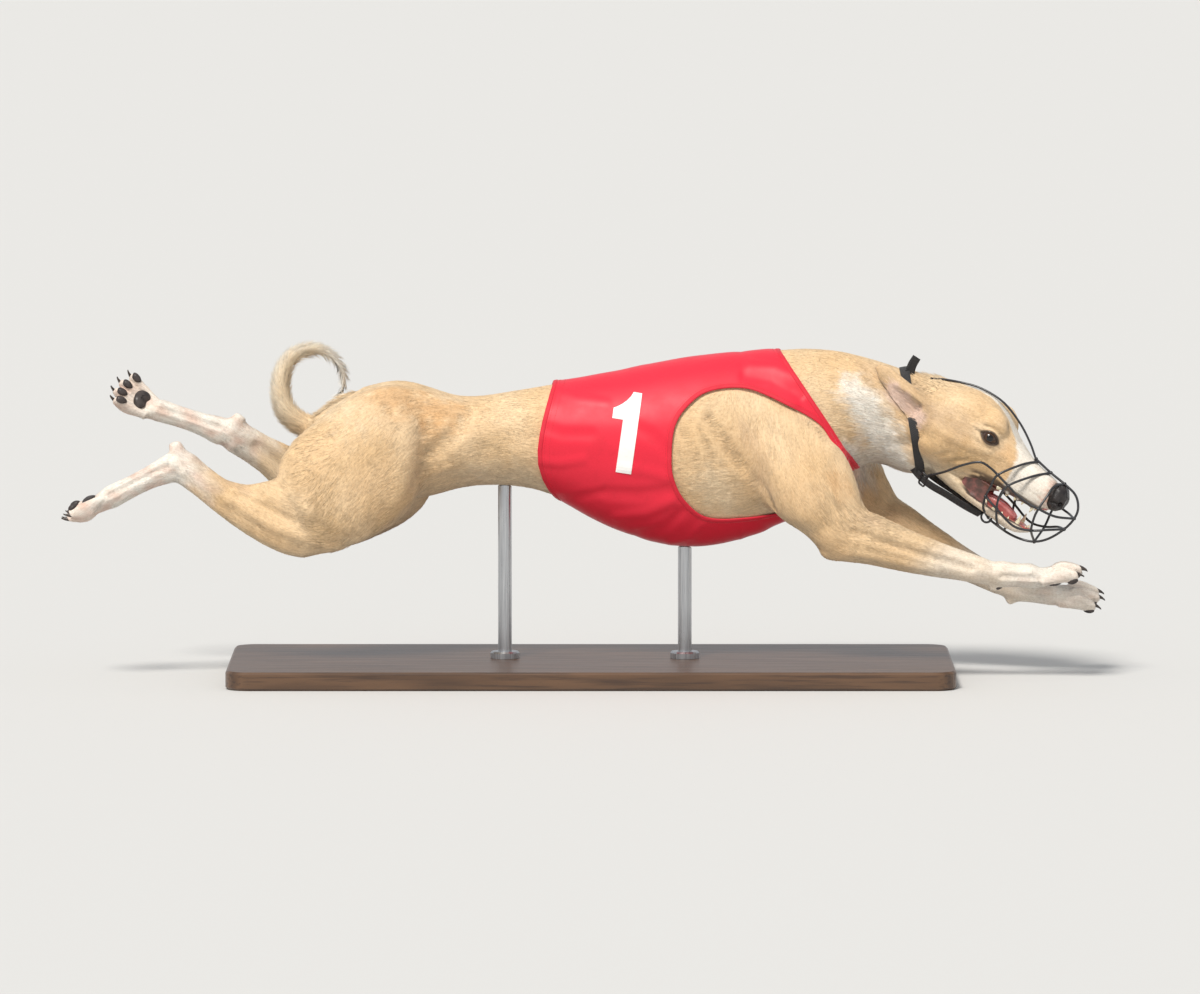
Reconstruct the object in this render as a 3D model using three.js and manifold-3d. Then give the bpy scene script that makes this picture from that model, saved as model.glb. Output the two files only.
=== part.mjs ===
// A racing greyhound at full stretch, life size, on a plain display stand.
//
// Frame: millimetres, +X towards the dog's head, +Y to its left, +Z up.
// The origin is the middle of the stand's underside.
//
// The body is drawn as closed skins over sections. The trunk's sections follow its mid line from the
// rump to the poll, the head's sections lie in a straight head frame that is then turned as a whole,
// and each leg is worked out from the lengths of its bones and the angles that they are held at.
// Each piece can be made a little larger ("grow"), and that larger copy cuts its neighbour clear.

import * as THREE from "three";
import Module from "manifold-3d";

const wasm = await Module();
wasm.setup();

// Driving dimensions

const GAP = 0.3; // between pieces that touch
const RIGHT = -1;
const LEFT = 1;

// The stand: a flat base and two rods.
const BASE = { length: 940, width: 360, thickness: 24, corner: 26, edge: 3 };
const ROD = { radius: 9, frontX: 122, rearX: -112, collarRadius: 19, collarHeight: 9, bevel: 2, sides: 20 };

// The head is built straight, then set at the poll and turned down and towards the dog's right.
const HEAD = { x: 425.5, y: -6, z: 342.8, down: 32, turn: 20 };
const EYE = { x: 103, y: 30.5, z: 35, radius: 11 };
const WIRE = { radius: 1.5, step: 24, ring: 7 };
const STRAP = { width: 12, thickness: 1.7, x: 417, z: 334, reach: 160, lean: 9 };

const VEST = { thickness: 2.2, ease: 0.4 };
const NUMBER = { height: 104, stem: 20, flag: 14, thickness: 1, z: 274, xRight: 32, xLeft: 64, lean: 8 };

const rad = THREE.MathUtils.degToRad;
const point = (x, y, z) => new THREE.Vector3(x, y, z);

// Shapes

// Reads a table smoothly. Each row is a place followed by its values.
function smooth(rows) {
  const width = rows[0].length - 1;
  const places = rows.map((row) => row[0]);
  const values = rows.flatMap((row) => row.slice(1));
  const reader = new THREE.CubicInterpolant(places, values, width, new Float64Array(width));
  return (place) => Array.from(reader.evaluate(place));
}

// A closed solid over rings of points, each end closed by a fan round its middle.
function skinOver(rings) {
  const sides = rings[0].length;
  const points = rings.flat();
  const corners = [];
  for (let ring = 0; ring + 1 < rings.length; ring += 1) {
    for (let side = 0; side < sides; side += 1) {
      const next = (side + 1) % sides;
      const a = ring * sides + side;
      const b = ring * sides + next;
      const c = b + sides;
      const d = a + sides;
      const shortWay = points[a].distanceTo(points[c]) < points[b].distanceTo(points[d]);
      corners.push(...(shortWay ? [a, b, c, a, c, d] : [a, b, d, b, c, d]));
    }
  }
  for (const [ring, turned] of [[0, true], [rings.length - 1, false]]) {
    const middle = points.length;
    const first = ring * sides;
    points.push(rings[ring].reduce((sum, p) => sum.add(p), point(0, 0, 0)).divideScalar(sides));
    for (let side = 0; side < sides; side += 1) {
      const edge = [first + side, first + ((side + 1) % sides)];
      corners.push(...(turned ? edge.reverse() : edge), middle);
    }
  }
  return solidOf(points, corners);
}

// A solid from points and triangles, turned the right way out.
function solidOf(points, corners) {
  const flat = new Float32Array(points.flatMap((p) => [p.x, p.y, p.z]));
  const make = (faces) =>
    new wasm.Manifold(
      new wasm.Mesh({ numProp: 3, vertProperties: flat, triVerts: new Uint32Array(faces) }),
    );
  const made = make(corners);
  return made.volume() > 0 ? made : make(corners.reverse());
}

// A solid from one of the library's own closed shapes.
function solidFrom(geometry) {
  const source = geometry.index ? geometry.toNonIndexed() : geometry;
  const place = source.getAttribute("position");
  const seen = new Map();
  const points = [];
  const corners = [];
  for (let i = 0; i < place.count; i += 1) {
    const p = new THREE.Vector3().fromBufferAttribute(place, i);
    const key = p.toArray().map((value) => Math.round(value * 1000)).join();
    if (!seen.has(key)) {
      seen.set(key, points.length);
      points.push(p);
    }
    corners.push(seen.get(key));
  }
  const whole = [];
  for (let i = 0; i < corners.length; i += 3) {
    const [a, b, c] = corners.slice(i, i + 3);
    if (a !== b && b !== c && c !== a) whole.push(a, b, c);
  }
  return solidOf(points, whole);
}

const join = (...solids) => solids.reduce((all, next) => all.add(next));
const cut = (solid, ...cutters) => cutters.reduce((left, cutter) => left.subtract(cutter), solid);

function largest(solid) {
  return solid.decompose().sort((a, b) => b.volume() - a.volume())[0];
}

// An oval ring round a middle: "up" is above or below it, "side" is its half width.
// A fullness of 2 is an ellipse, and more is squarer.
function oval(middle, up, across, above, below, side, count, fullness = 2) {
  return Array.from({ length: count }, (_, i) => {
    const angle = (i / count) * Math.PI * 2;
    const rise = Math.sign(Math.sin(angle)) * Math.abs(Math.sin(angle)) ** (2 / fullness);
    const reach = Math.sign(Math.cos(angle)) * Math.abs(Math.cos(angle)) ** (2 / fullness);
    return middle
      .clone()
      .addScaledVector(up, rise * (rise > 0 ? above : below))
      .addScaledVector(across, reach * side);
  });
}

// A rod along a curve, with a radius that may change along it.
function rod(curve, radius, sides, steps) {
  const frames = curve.computeFrenetFrames(steps, false);
  const radiusAt = typeof radius === "number" ? () => radius : radius;
  return skinOver(
    Array.from({ length: steps + 1 }, (_, i) => {
      const share = i / steps;
      const middle = curve.getPointAt(share);
      const r = radiusAt(share);
      return oval(middle, frames.normals[i], frames.binormals[i], r, r, r, sides);
    }),
  );
}

// An ellipsoid with its three half sizes along x, y and z, turned about y by a pitch in degrees.
function ellipsoid(centre, sizes, pitch = 0, detail = [14, 9]) {
  const ball = new THREE.SphereGeometry(1, ...detail);
  const turn = new THREE.Quaternion().setFromAxisAngle(point(0, 1, 0), rad(pitch));
  ball.applyMatrix4(new THREE.Matrix4().compose(centre, turn, sizes));
  return solidFrom(ball);
}

function box(centre, sizes, pitch = 0) {
  const block = new THREE.BoxGeometry(sizes.x, sizes.y, sizes.z);
  block.rotateY(rad(pitch));
  block.translate(centre.x, centre.y, centre.z);
  return solidFrom(block);
}

// A length of limb between two joints. "front" is the limb's front or upper side.
// Each row: share of the length, reach to the front, reach to the back, half width, sideways shift.
function limb(from, to, front, rows, grow = 0, sides = 12, rings = 12) {
  const along = to.clone().sub(from);
  const axis = along.clone().normalize();
  const up = front.clone().addScaledVector(axis, -front.dot(axis)).normalize();
  const across = new THREE.Vector3().crossVectors(up, axis).normalize();
  const read = smooth(rows);
  const start = rows[0][0];
  const end = rows[rows.length - 1][0];
  return skinOver(
    Array.from({ length: rings + 1 }, (_, i) => {
      const share = start + ((end - start) * i) / rings;
      const [before, behind, side, shift] = read(share);
      const middle = from.clone().addScaledVector(along, share).add(point(0, shift, 0));
      return oval(middle, up, across, before + grow, behind + grow, side + grow, sides, 2.15);
    }),
  );
}

// The trunk and neck: place along the mid line, then the section's middle (x, y, z), its reach above
// and below, its half width, and how far its top leans back in degrees.
const TRUNK = [
  [0, -366, 0, 306, 10, 12, 16, 42], // root of the tail
  [1, -350, 0, 304, 34, 34, 34, 30],
  [2, -318, 0, 302, 60, 58, 56, 14], // pin bones
  [3, -282, 0, 303, 79, 70, 68, 4],
  [4, -244, 0, 304, 85, 74, 72, 0], // top of the croup
  [5, -205, 0, 305, 73, 70, 67, 0],
  [6, -164, 0, 307, 59, 60, 60, 0], // dip before the croup
  [7, -108, 0, 311, 62, 62, 59, 0], // loin
  [8, -50, 0, 311, 72, 74, 65, 0],
  [9, 12, 0, 306, 87, 104, 77, 0], // last ribs
  [10, 77, 0, 304, 103, 126, 86, 0],
  [11, 135, 0, 304, 113, 134, 89, 0], // deepest chest
  [12, 195, 0, 311, 112, 127, 84, 7],
  [13, 250, 0, 322, 109, 106, 76, 20], // withers
  [14, 298, 0, 350, 94, 90, 67, 34], // foot of the neck
  [15, 342, 0, 355, 79, 80, 55, 22],
  [16, 388, -1, 341, 71, 71, 48, 6],
  [17, 430, -5, 329, 62, 68, 46, -6], // poll
  [18, 462, -12, 320, 47, 52, 36, -14],
];
const NECK_FOOT = { x: 298, z: 350, lean: 34, size: 900 };
const TRUNK_RINGS = 31;
const TRUNK_SIDES = 20;

function trunk(grow = 0) {
  const read = smooth(TRUNK);
  const last = TRUNK.length - 1;
  return skinOver(
    Array.from({ length: TRUNK_RINGS + 1 }, (_, i) => {
      const [x, y, z, above, below, side, lean] = read((last * i) / TRUNK_RINGS);
      const up = point(-Math.sin(rad(lean)), 0, Math.cos(rad(lean)));
      const across = point(0, 1, 0);
      const sizes = [above + grow, below + grow, side + grow];
      return oval(point(x, y, z), up, across, ...sizes, TRUNK_SIDES);
    }),
  );
}

// Everything ahead of the leaning plane at the foot of the neck.
function aheadOfNeckFoot(shift) {
  const { x, z, lean, size } = NECK_FOOT;
  const normal = point(Math.cos(rad(lean)), 0, Math.sin(rad(lean)));
  const centre = point(x, 0, z).addScaledVector(normal, shift + size / 2);
  return box(centre, point(size, size, size), -lean);
}

// One side of the dog's middle plane.
function half(side) {
  const size = 1600;
  return box(point(0, side * (size / 2 + GAP / 2), 200), point(size, size, size));
}

// Legs

// A direction from its angle in the dog's upright plane (0 forwards, 90 up) and its outward angle.
function aim(angle, out = 0, side = LEFT) {
  const flat = Math.cos(rad(out));
  return point(Math.cos(rad(angle)) * flat, side * Math.sin(rad(out)), Math.sin(rad(angle)) * flat);
}

// A toe: arched above, its pad below near the tip, and its claw in front.
function toe(root, ahead, up, length, grow) {
  const at = (share, rise) =>
    root.clone().addScaledVector(ahead, length * share).addScaledVector(up, rise);
  const rows = [
    [-0.3, 6, 8, 7, 0],
    [0, 13, 8, 9, 0],
    [0.35, 17, 9, 9.5, 0],
    [0.62, 15, 15, 9.5, 0],
    [0.85, 7, 16, 8, 0],
    [1.02, 1, 11, 5, 0],
  ];
  const claw = new THREE.CatmullRomCurve3([at(0.86, 0), at(1.06, 2), at(1.24, -3)]);
  return join(
    limb(at(0, 0), at(1, 0), up, rows, grow, 6, 5),
    rod(claw, (share) => 3.2 * (1 - 0.75 * share) + grow, 4, 2),
  );
}

// A paw: four toes side by side, the middle two longer, and the large pad behind them.
function paw(knuckle, ahead, up, length, grow = 0) {
  const across = new THREE.Vector3().crossVectors(up, ahead).normalize();
  const toes = [-1.5, -0.5, 0.5, 1.5].map((place) => {
    const outer = Math.abs(place) > 1;
    const root = knuckle.clone().addScaledVector(across, place * 10.5);
    root.addScaledVector(up, outer ? -4 : 0);
    const direction = ahead.clone().addScaledVector(across, place * 0.1).normalize();
    return toe(root, direction, up, length * (outer ? 0.84 : 1), grow);
  });
  const heel = knuckle.clone().addScaledVector(up, -12).addScaledVector(ahead, 4);
  const heelEnds = [-1, 0, 1].map((place) =>
    heel.clone().addScaledVector(across, place * 11).addScaledVector(ahead, place === 0 ? 5 : -2),
  );
  const bigPad = rod(
    new THREE.CatmullRomCurve3(heelEnds),
    (share) => 6 + 3 * Math.sin(share * Math.PI) + grow,
    6,
    4,
  );
  return join(...toes, bigPad);
}

function pawOn(knuckle, pose, length, side, grow) {
  const ahead = aim(pose.toes);
  const up = aim(pose.toes + 90).applyAxisAngle(ahead, rad(pose.roll * side));
  return paw(knuckle, ahead, up, length, grow);
}

const FORE = { y: 58, blade: 202, forearm: 194, cannon: 77, toes: 44 };

// Each bone has its angle in the upright plane and its outward angle, in degrees.
// "front" thins the forearm's upper side, where the turned left leg shows less of it.
const FORE_POSE = {
  [RIGHT]: {
    top: [218, 355],
    blade: [-56.7, 4.6],
    forearm: [-14, -5.3],
    cannon: [-2, 0],
    toes: 16,
    roll: 0,
    front: 1,
  },
  [LEFT]: {
    top: [244, 355],
    blade: [-50.4, 3.4],
    forearm: [-26.7, -7],
    cannon: [-8, 0],
    toes: 4,
    roll: 24,
    front: 0.86,
  },
};

function foreleg(side, grow = 0) {
  const pose = FORE_POSE[side];
  const top = point(pose.top[0], side * FORE.y, pose.top[1]);
  const elbow = top.clone().addScaledVector(aim(...pose.blade, side), FORE.blade);
  const wrist = elbow.clone().addScaledVector(aim(...pose.forearm, side), FORE.forearm);
  const knuckle = wrist.clone().addScaledVector(aim(...pose.cannon, side), FORE.cannon);
  const bladeRows = [
    [-0.1, 20, 24, 7, 0],
    [0.05, 38, 44, 15, 0],
    [0.2, 48, 53, 24, 0],
    [0.37, 57, 56, 31, 0], // point of the shoulder
    [0.52, 63, 63, 34, 0],
    [0.63, 62, 62, 34, 0], // triceps
    [0.75, 54, 52, 30, 0],
    [0.87, 46, 39, 25, 0],
    [1, 38, 34, 22, 0],
    [1.1, 22, 26, 13, 0],
  ];
  const forearmRows = [
    [-0.12, 12, 26, 12, 0],
    [0, 40, 31, 21, 0],
    [0.08, 46, 28, 24, 0],
    [0.2, 41, 26, 24.5, 0],
    [0.35, 34, 25.5, 22, 0],
    [0.55, 28, 23.5, 19, 0],
    [0.75, 23, 20, 16.5, 0],
    [0.92, 20, 17.5, 16, 0],
    [1, 19, 17, 16.5, 0],
    [1.08, 14, 12, 13, 0],
  ].map(([share, front, ...rest]) => [share, front * pose.front, ...rest]);
  const cannonRows = [
    [-0.12, 12, 11, 12, 0],
    [0, 18, 17, 16, 0],
    [0.45, 15, 17, 15, 0],
    [0.85, 16, 17, 19, 0],
    [1.08, 13, 11, 18, 0],
  ];
  const padPlace = wrist.clone().addScaledVector(aim(pose.cannon[0] + 90), -18);
  padPlace.addScaledVector(aim(pose.cannon[0]), 6);
  const wristPad = ellipsoid(padPlace, point(8, 6, 7).addScalar(grow), 0, [7, 5]);
  const elbowPoint = ellipsoid(
    elbow.clone().add(point(-20, side * -2, -17)),
    point(17, 11, 13).addScalar(grow),
    20,
    [7, 5],
  );
  return join(
    limb(top, elbow, aim(pose.blade[0] + 90), bladeRows, grow, 12, 9),
    limb(elbow, wrist, aim(pose.forearm[0] + 90), forearmRows, grow, 10, 8),
    limb(wrist, knuckle, aim(pose.cannon[0] + 90), cannonRows, grow, 9, 4),
    wristPad,
    elbowPoint,
    pawOn(knuckle, pose, FORE.toes, side, grow),
  );
}

const HIND = { y: 58, thigh: 172, shin: 203, cannon: 121, toes: 43 };
const HIND_POSE = {
  [RIGHT]: {
    hip: [-263, 337],
    thigh: [238, 8],
    shin: [152.4, -6.8],
    cannon: [207.4, -1],
    toes: 209,
    roll: 0,
  },
  [LEFT]: {
    hip: [-256, 334],
    thigh: [246, 18],
    shin: [138.7, -14.8],
    cannon: [162.6, 0],
    toes: 145,
    roll: -52,
  },
};

// The shin's rows differ a little: the left leg is turned, so its shin bone shows less.
const SHIN_ROWS = {
  [RIGHT]: [
    [-0.12, 10, 14, 12, 0],
    [0.03, 40, 34, 24, 0],
    [0.21, 46.5, 44, 26, 0],
    [0.41, 46, 38, 23, 0],
    [0.52, 43, 18, 18, 0],
    [0.62, 40, 8, 15.5, 0],
    [0.79, 32.5, 10.5, 14, 0],
    [0.91, 28, 17, 13, 0],
    [1, 26, 19, 13, 0],
    [1.08, 14, 12, 9, 0],
  ],
  [LEFT]: [
    [-0.12, 10, 14, 12, 0],
    [0.03, 38, 36, 24, 0],
    [0.21, 38, 46, 26, 0],
    [0.41, 28, 46, 23, 0],
    [0.52, 20, 44, 18, 0],
    [0.62, 17, 38, 15.5, 0],
    [0.79, 18, 29, 14, 0],
    [0.91, 22, 24, 13, 0],
    [1, 24, 22, 13, 0],
    [1.08, 14, 12, 9, 0],
  ],
};

function hindleg(side, grow = 0) {
  const pose = HIND_POSE[side];
  const hip = point(pose.hip[0], side * HIND.y, pose.hip[1]);
  const knee = hip.clone().addScaledVector(aim(...pose.thigh, side), HIND.thigh);
  const hock = knee.clone().addScaledVector(aim(...pose.shin, side), HIND.shin);
  const knuckle = hock.clone().addScaledVector(aim(...pose.cannon, side), HIND.cannon);
  const thighRows = [
    [-0.26, 16, 20, 14, side * -22],
    [-0.14, 42, 42, 36, side * -22],
    [0, 62, 60, 50, side * -20],
    [0.25, 80, 78, 56, side * -19],
    [0.5, 87, 92, 54, side * -16],
    [0.75, 70, 92, 43, side * -9],
    [0.92, 48, 66, 29, 0],
    [1.05, 26, 34, 19, 0],
    [1.14, 12, 16, 11, 0],
  ];
  const cannonRows = [
    [-0.12, 12, 10, 10, 0],
    [0, 24, 17, 14, 0],
    [0.25, 18, 15, 13, 0],
    [0.6, 15, 14, 12.5, 0],
    [0.88, 16, 15, 18, 0],
    [1.06, 13, 10, 17, 0],
  ];
  const heelTip = hock.clone().addScaledVector(aim(pose.cannon[0] - 90), 26);
  heelTip.addScaledVector(aim(pose.cannon[0]), -6);
  const heel = rod(new THREE.LineCurve3(hock, heelTip), (share) => 14 - 5 * share + grow, 7, 2);
  return join(
    limb(hip, knee, aim(pose.thigh[0] + 90), thighRows, grow, 14, 10),
    limb(knee, hock, aim(pose.shin[0] + 90), SHIN_ROWS[side], grow, 9, 9),
    heel,
    limb(hock, knuckle, aim(pose.cannon[0] + 90), cannonRows, grow, 8, 5),
    pawOn(knuckle, pose, HIND.toes, side, grow),
  ).intersect(half(side));
}

// Tail: from its root it drops back, then curls up and over into a ring, thinner towards the tip.
// Each row: angle round the ring's middle, distance from it.
const TAIL = { ringX: -358, ringZ: 381, rootRadius: 17, tipRadius: 3.2, tipShift: 16 };
const TAIL_RING = [
  [-258, 56],
  [-220, 51],
  [-180, 45],
  [-135, 47],
  [-90, 46],
  [-45, 41],
  [0, 37],
  [62, 31],
];

function tail(grow = 0) {
  const reachAt = smooth(TAIL_RING);
  const [start, end] = [TAIL_RING[0][0], TAIL_RING[TAIL_RING.length - 1][0]];
  const ring = Array.from({ length: 17 }, (_, i) => {
    const turn = start + ((end - start) * i) / 16;
    const [reach] = reachAt(turn);
    const across = TAIL.tipShift * (i / 16) ** 2;
    return point(TAIL.ringX, across, TAIL.ringZ).addScaledVector(aim(-turn), reach);
  });
  const curve = new THREE.CatmullRomCurve3([point(-318, 0, 318), point(-342, 0, 321), ...ring]);
  const taper = (share) =>
    TAIL.rootRadius - (TAIL.rootRadius - TAIL.tipRadius) * share ** 1.25 + grow;
  return rod(curve, taper, 8, 27);
}

// Head, in its own straight frame: x along the muzzle, z up, the poll at the origin

const headTurn = new THREE.Quaternion()
  .setFromAxisAngle(point(0, 0, 1), rad(-HEAD.turn))
  .multiply(new THREE.Quaternion().setFromAxisAngle(point(0, 1, 0), rad(HEAD.down)));
const headFrame = new THREE.Matrix4().compose(
  point(HEAD.x, HEAD.y, HEAD.z),
  headTurn,
  point(1, 1, 1),
);
const onHead = (solid) => solid.transform(headFrame.elements);

// A solid along x from rows of x, middle height, reach above, reach below and half width.
function alongX(table, rings, count, fullness, grow = 0) {
  const read = smooth(table);
  const start = table[0][0];
  const end = table[table.length - 1][0];
  return skinOver(
    Array.from({ length: rings + 1 }, (_, i) => {
      const x = start + ((end - start) * i) / rings;
      const [z, above, below, side] = read(x);
      const sizes = [above + grow, below + grow, side + grow];
      return oval(point(x, 0, z), point(0, 0, 1), point(0, 1, 0), ...sizes, count, fullness);
    }),
  );
}

const SKULL = [
  [-56, 0, 16, 20, 18],
  [-46, 1, 31, 36, 31],
  [-24, 2, 43, 45, 42],
  [6, 4, 54, 50, 50],
  [40, 5, 65, 51, 53], // dome
  [64, 5, 70.5, 50, 52],
  [82, 5, 70, 45, 48],
  [96, 6, 66, 42, 43], // mouth corner
  [108, 7, 59, 39, 38], // eyes
  [122, 7, 49, 34, 32.5],
  [136, 8, 40, 32, 29],
  [150, 8, 33, 31, 26.5],
  [173, 8, 26, 30, 24],
  [198, 8, 23, 28, 21],
  [212, 8, 19, 22, 17],
  [219, 8, 12, 13, 10],
];

const LIDS = point(15, 12.5, 14);
const BROW = { x: 95, y: 23, z: 52, pitch: 25, sizes: point(25, 14, 20) };
const EYE_SLIT = point(11.5, 9, 7.5);

const bothSides = (make) => [RIGHT, LEFT].map(make);

// The skull with its two brows and the bulge of the lids.
function skull(grow = 0) {
  const lids = bothSides((side) =>
    ellipsoid(point(EYE.x, side * (EYE.y - 1), EYE.z), LIDS.clone().addScalar(grow), 20, [8, 6]),
  );
  const brows = bothSides((side) => {
    const sizes = BROW.sizes.clone().addScalar(grow);
    return ellipsoid(point(BROW.x, side * BROW.y, BROW.z), sizes, BROW.pitch, [10, 7]);
  });
  return join(alongX(SKULL, 17, 16, 2.15, grow), ...lids, ...brows);
}

// A tooth: a short cone, its root sunk in the gum.
function tooth(x, y, z, length, radius, rises) {
  const line = new THREE.LineCurve3(point(x, y, z - rises * 3), point(x + 2, y, z + rises * length));
  return rod(line, (share) => radius * (1 - 0.85 * share), 4, 1);
}

// One jaw's teeth: on each side a canine, two of the front teeth and two cheek teeth.
function teeth(rises, z, canine, width) {
  const sideTeeth = (side) => [
    tooth(canine, side * width, z, 12, 3.8, rises),
    ...[3, 7.5].map((y) => tooth(canine + 9, side * y, z, 3.5, 2.4, rises)),
    ...[20, 36].map((back) => tooth(canine - back, side * (width + back / 8), z, 5, 4, rises)),
  ];
  return join(...bothSides(sideTeeth).flat());
}

const NOSE = [
  [205, 14, 15, 17, 13],
  [212, 14, 18, 19, 16.5],
  [221, 13, 16, 17, 16],
  [228, 12, 8, 9, 9],
];
const nose = (grow = 0) => alongX(NOSE, 4, 10, 2.3, grow);

function nostrils() {
  return join(
    ...bothSides((side) => {
      const line = [point(216, side * 5, 14), point(223, side * 9.5, 12), point(227, side * 17, 5)];
      return rod(new THREE.CatmullRomCurve3(line), (share) => 2.6 + 1.6 * share, 5, 2);
    }),
  );
}

const JAW = [
  [50, -28, 10, 20, 27],
  [76, -34, 10, 21, 30],
  [98, -40, 8, 15, 29],
  [113, -46, 8, 10, 27],
  [130, -48, 8, 8.5, 24],
  [150, -49, 8, 8, 22],
  [174, -50, 9, 9, 19],
  [192, -49, 9, 8, 16],
  [202, -45, 8, 7, 12],
  [209, -42, 4, 4, 7],
];
const jaw = (grow = 0) => alongX(JAW, 9, 10, 2.4, grow);

// The hollow between the rows of teeth, where the tongue lies.
const mouthFloor = (grow = 0) =>
  ellipsoid(point(144, 0, -38), point(50, 14, 9).addScalar(-grow), 4, [8, 5]);

function tongue() {
  const line = new THREE.CatmullRomCurve3([
    point(106, 0, -40),
    point(132, 0, -37),
    point(158, 0, -35),
    point(182, -2, -40),
  ]);
  return skinOver(
    Array.from({ length: 8 }, (_, i) => {
      const share = i / 7;
      const half = 11 * Math.sin(Math.PI * (0.16 + 0.76 * share)) ** 0.5;
      return oval(line.getPointAt(share), point(0, 0, 1), point(0, 1, 0), 4, 12, half, 8);
    }),
  );
}

// An ear, folded back: the flap narrows to its tip, and below it the cup opens outwards.
// Each row: share of the length, reach above, reach below, half thickness.
const EAR_ROWS = [
  [-0.06, 14, 14, 9],
  [0.04, 21, 22, 13],
  [0.25, 19, 21, 12],
  [0.5, 14, 17, 9],
  [0.68, 12.5, 13.5, 6],
  [0.86, 11.5, 11, 4.5],
  [0.95, 9, 8.5, 3.4],
  [1, 4.5, 4.5, 1.8],
];
const EAR_LINE = {
  [RIGHT]: [point(14, 38, 13), point(-30, 49, 27), point(-69, 52, 35)],
  [LEFT]: [point(14, 38, 12), point(-28, 51, 20), point(-64, 58, 21)],
};

function ear(side, grow = 0) {
  const line = new THREE.CatmullRomCurve3(
    EAR_LINE[side].map((place) => place.clone().multiply(point(1, side, 1))),
  );
  const read = smooth(EAR_ROWS);
  const shell = (extra, from, to, shift) =>
    skinOver(
      Array.from({ length: 8 }, (_, i) => {
        const share = from + ((to - from) * i) / 7;
        const along = line.getTangentAt(Math.min(Math.max(share, 0), 1));
        const up = point(0, 0, 1).addScaledVector(along, -along.z).normalize();
        const across = new THREE.Vector3().crossVectors(up, along);
        const middle = line.getPointAt(Math.min(Math.max(share, 0), 1)).add(shift);
        middle.addScaledVector(along, 80 * Math.min(share, 0));
        const [above, below, half] = read(share).map((size) => Math.max(size + extra, 0.8));
        return oval(middle, up, across, above, below, half, 9);
      }),
    );
  const whole = shell(grow, -0.06, 1, point(0, 0, 0));
  return grow > 0 ? whole : cut(whole, shell(-3, 0.08, 0.8, point(0, side * 9, -8)));
}

// The wire basket round the muzzle: a keel over the nose and under the chin, and for each side
// three hoops, two wires along the side and one up the cheek.
const BASKET = {
  keel: [
    [164, 0, 39], [190, 0, 35], [213, 0, 33], [233, 0, 29], [245, 0, 17], [248, 0, 2],
    [244, 0, -17], [233, 0, -39], [219, 0, -53], [201, 0, -60.5], [180, 0, -63.5], [153, 0, -62.5],
  ],
  sides: [
    [
      [168, 0, 38], [157, 24, 28], [141, 42, 3], [141, 42, -16], [141, 37, -31], [144, 26, -48],
      [151, 0, -62],
    ],
    [
      [190, 0, 35], [177, 23, 23], [160, 42, -1], [158, 42, -20], [162, 38, -36], [171, 28, -54],
      [177, 0, -63.5],
    ],
    [
      [213, 0, 33], [207, 18, 26], [208, 28, 14], [209, 37, -5], [210, 36, -18], [214, 29, -36],
      [219, 0, -53],
    ],
    [
      [141, 42, 3], [160, 42, -1], [176, 41, -5], [195, 39, -6], [209, 37, -5], [231, 28, -3],
      [248, 0, 2],
    ],
    [[141, 37, -31], [162, 38, -36], [192, 35, -43], [214, 29, -36], [230, 24, -25], [244, 0, -17]],
    [[141, 42, 3], [128, 45, 6], [113, 49, 5], [96, 50, -11], [80, 44, -32], [58, 29, -56]],
  ],
};

function basket() {
  const wire = (places, side) => {
    const line = new THREE.CatmullRomCurve3(places.map(([x, y, z]) => point(x, y * side, z)));
    return rod(line, WIRE.radius, 4, Math.max(3, Math.round(line.getLength() / WIRE.step)));
  };
  const ring = new THREE.TorusGeometry(WIRE.ring, WIRE.radius, 4, 8);
  ring.rotateX(Math.PI / 2).translate(148, 0, -62);
  return join(
    wire(BASKET.keel, LEFT),
    solidFrom(ring),
    ...bothSides((side) => BASKET.sides.map((places) => wire(places, side))).flat(),
  );
}

// The thin wire that runs from the basket over the forehead to the strap behind the ears.
function browWire() {
  const line = [
    [172, 0, 37.5], [164, 0, 39], [148, 0, 51], [128, 0, 63], [109, 0, 71], [90, 0, 76.5],
    [71, 0, 77.5], [48, 0, 74.5], [27, -1, 67.5], [8, -7, 60], [-8, -15, 52],
  ];
  const curve = new THREE.CatmullRomCurve3(line.map((place) => point(...place)));
  return rod(curve, WIRE.radius, 4, 12);
}

// The webbing: a band down from the poll on each side, on to the basket's ring under the chin.
function strapBand(outer, ...inner) {
  const { x, z, width, reach, lean } = STRAP;
  const slab = box(point(x, 0, z), point(width, 2 * reach, reach), -lean);
  return cut(outer.intersect(slab), ...inner);
}

// A flat strip of webbing along a line.
function strip(places, flat, width, steps) {
  const line = new THREE.CatmullRomCurve3(places);
  return skinOver(
    Array.from({ length: steps + 1 }, (_, i) => {
      const middle = line.getPointAt(i / steps);
      const across = new THREE.Vector3().crossVectors(flat, line.getTangentAt(i / steps));
      across.setLength(width / 2);
      return [[1, 1], [-1, 1], [-1, -1], [1, -1]].map(([wide, face]) =>
        middle
          .clone()
          .addScaledVector(across, wide)
          .addScaledVector(flat, (face * STRAP.thickness) / 2),
      );
    }),
  );
}

const CHIN_STRAP = [
  [36, 21, -60],
  [50, 23, -62],
  [68, 25, -63],
  [92, 22, -62],
  [119, 13, -63],
  [137, 4, -63],
];

function chinStrap(side) {
  const flat = point(0, side * 0.5, -0.87).normalize();
  return strip(CHIN_STRAP.map(([x, y, z]) => point(x, side * y, z)), flat, STRAP.width, 7);
}

// The free end of the webbing, which stands up behind the ears.
function strapTab() {
  const places = [[409, 384], [413, 398], [417, 409], [422, 418]].map(([x, z]) => point(x, -18, z));
  return strip(places, point(0.35, 0.94, 0).normalize(), STRAP.width * 1.1, 5);
}

// Vest: a close shell over the chest from the loin to the foot of the neck

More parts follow.
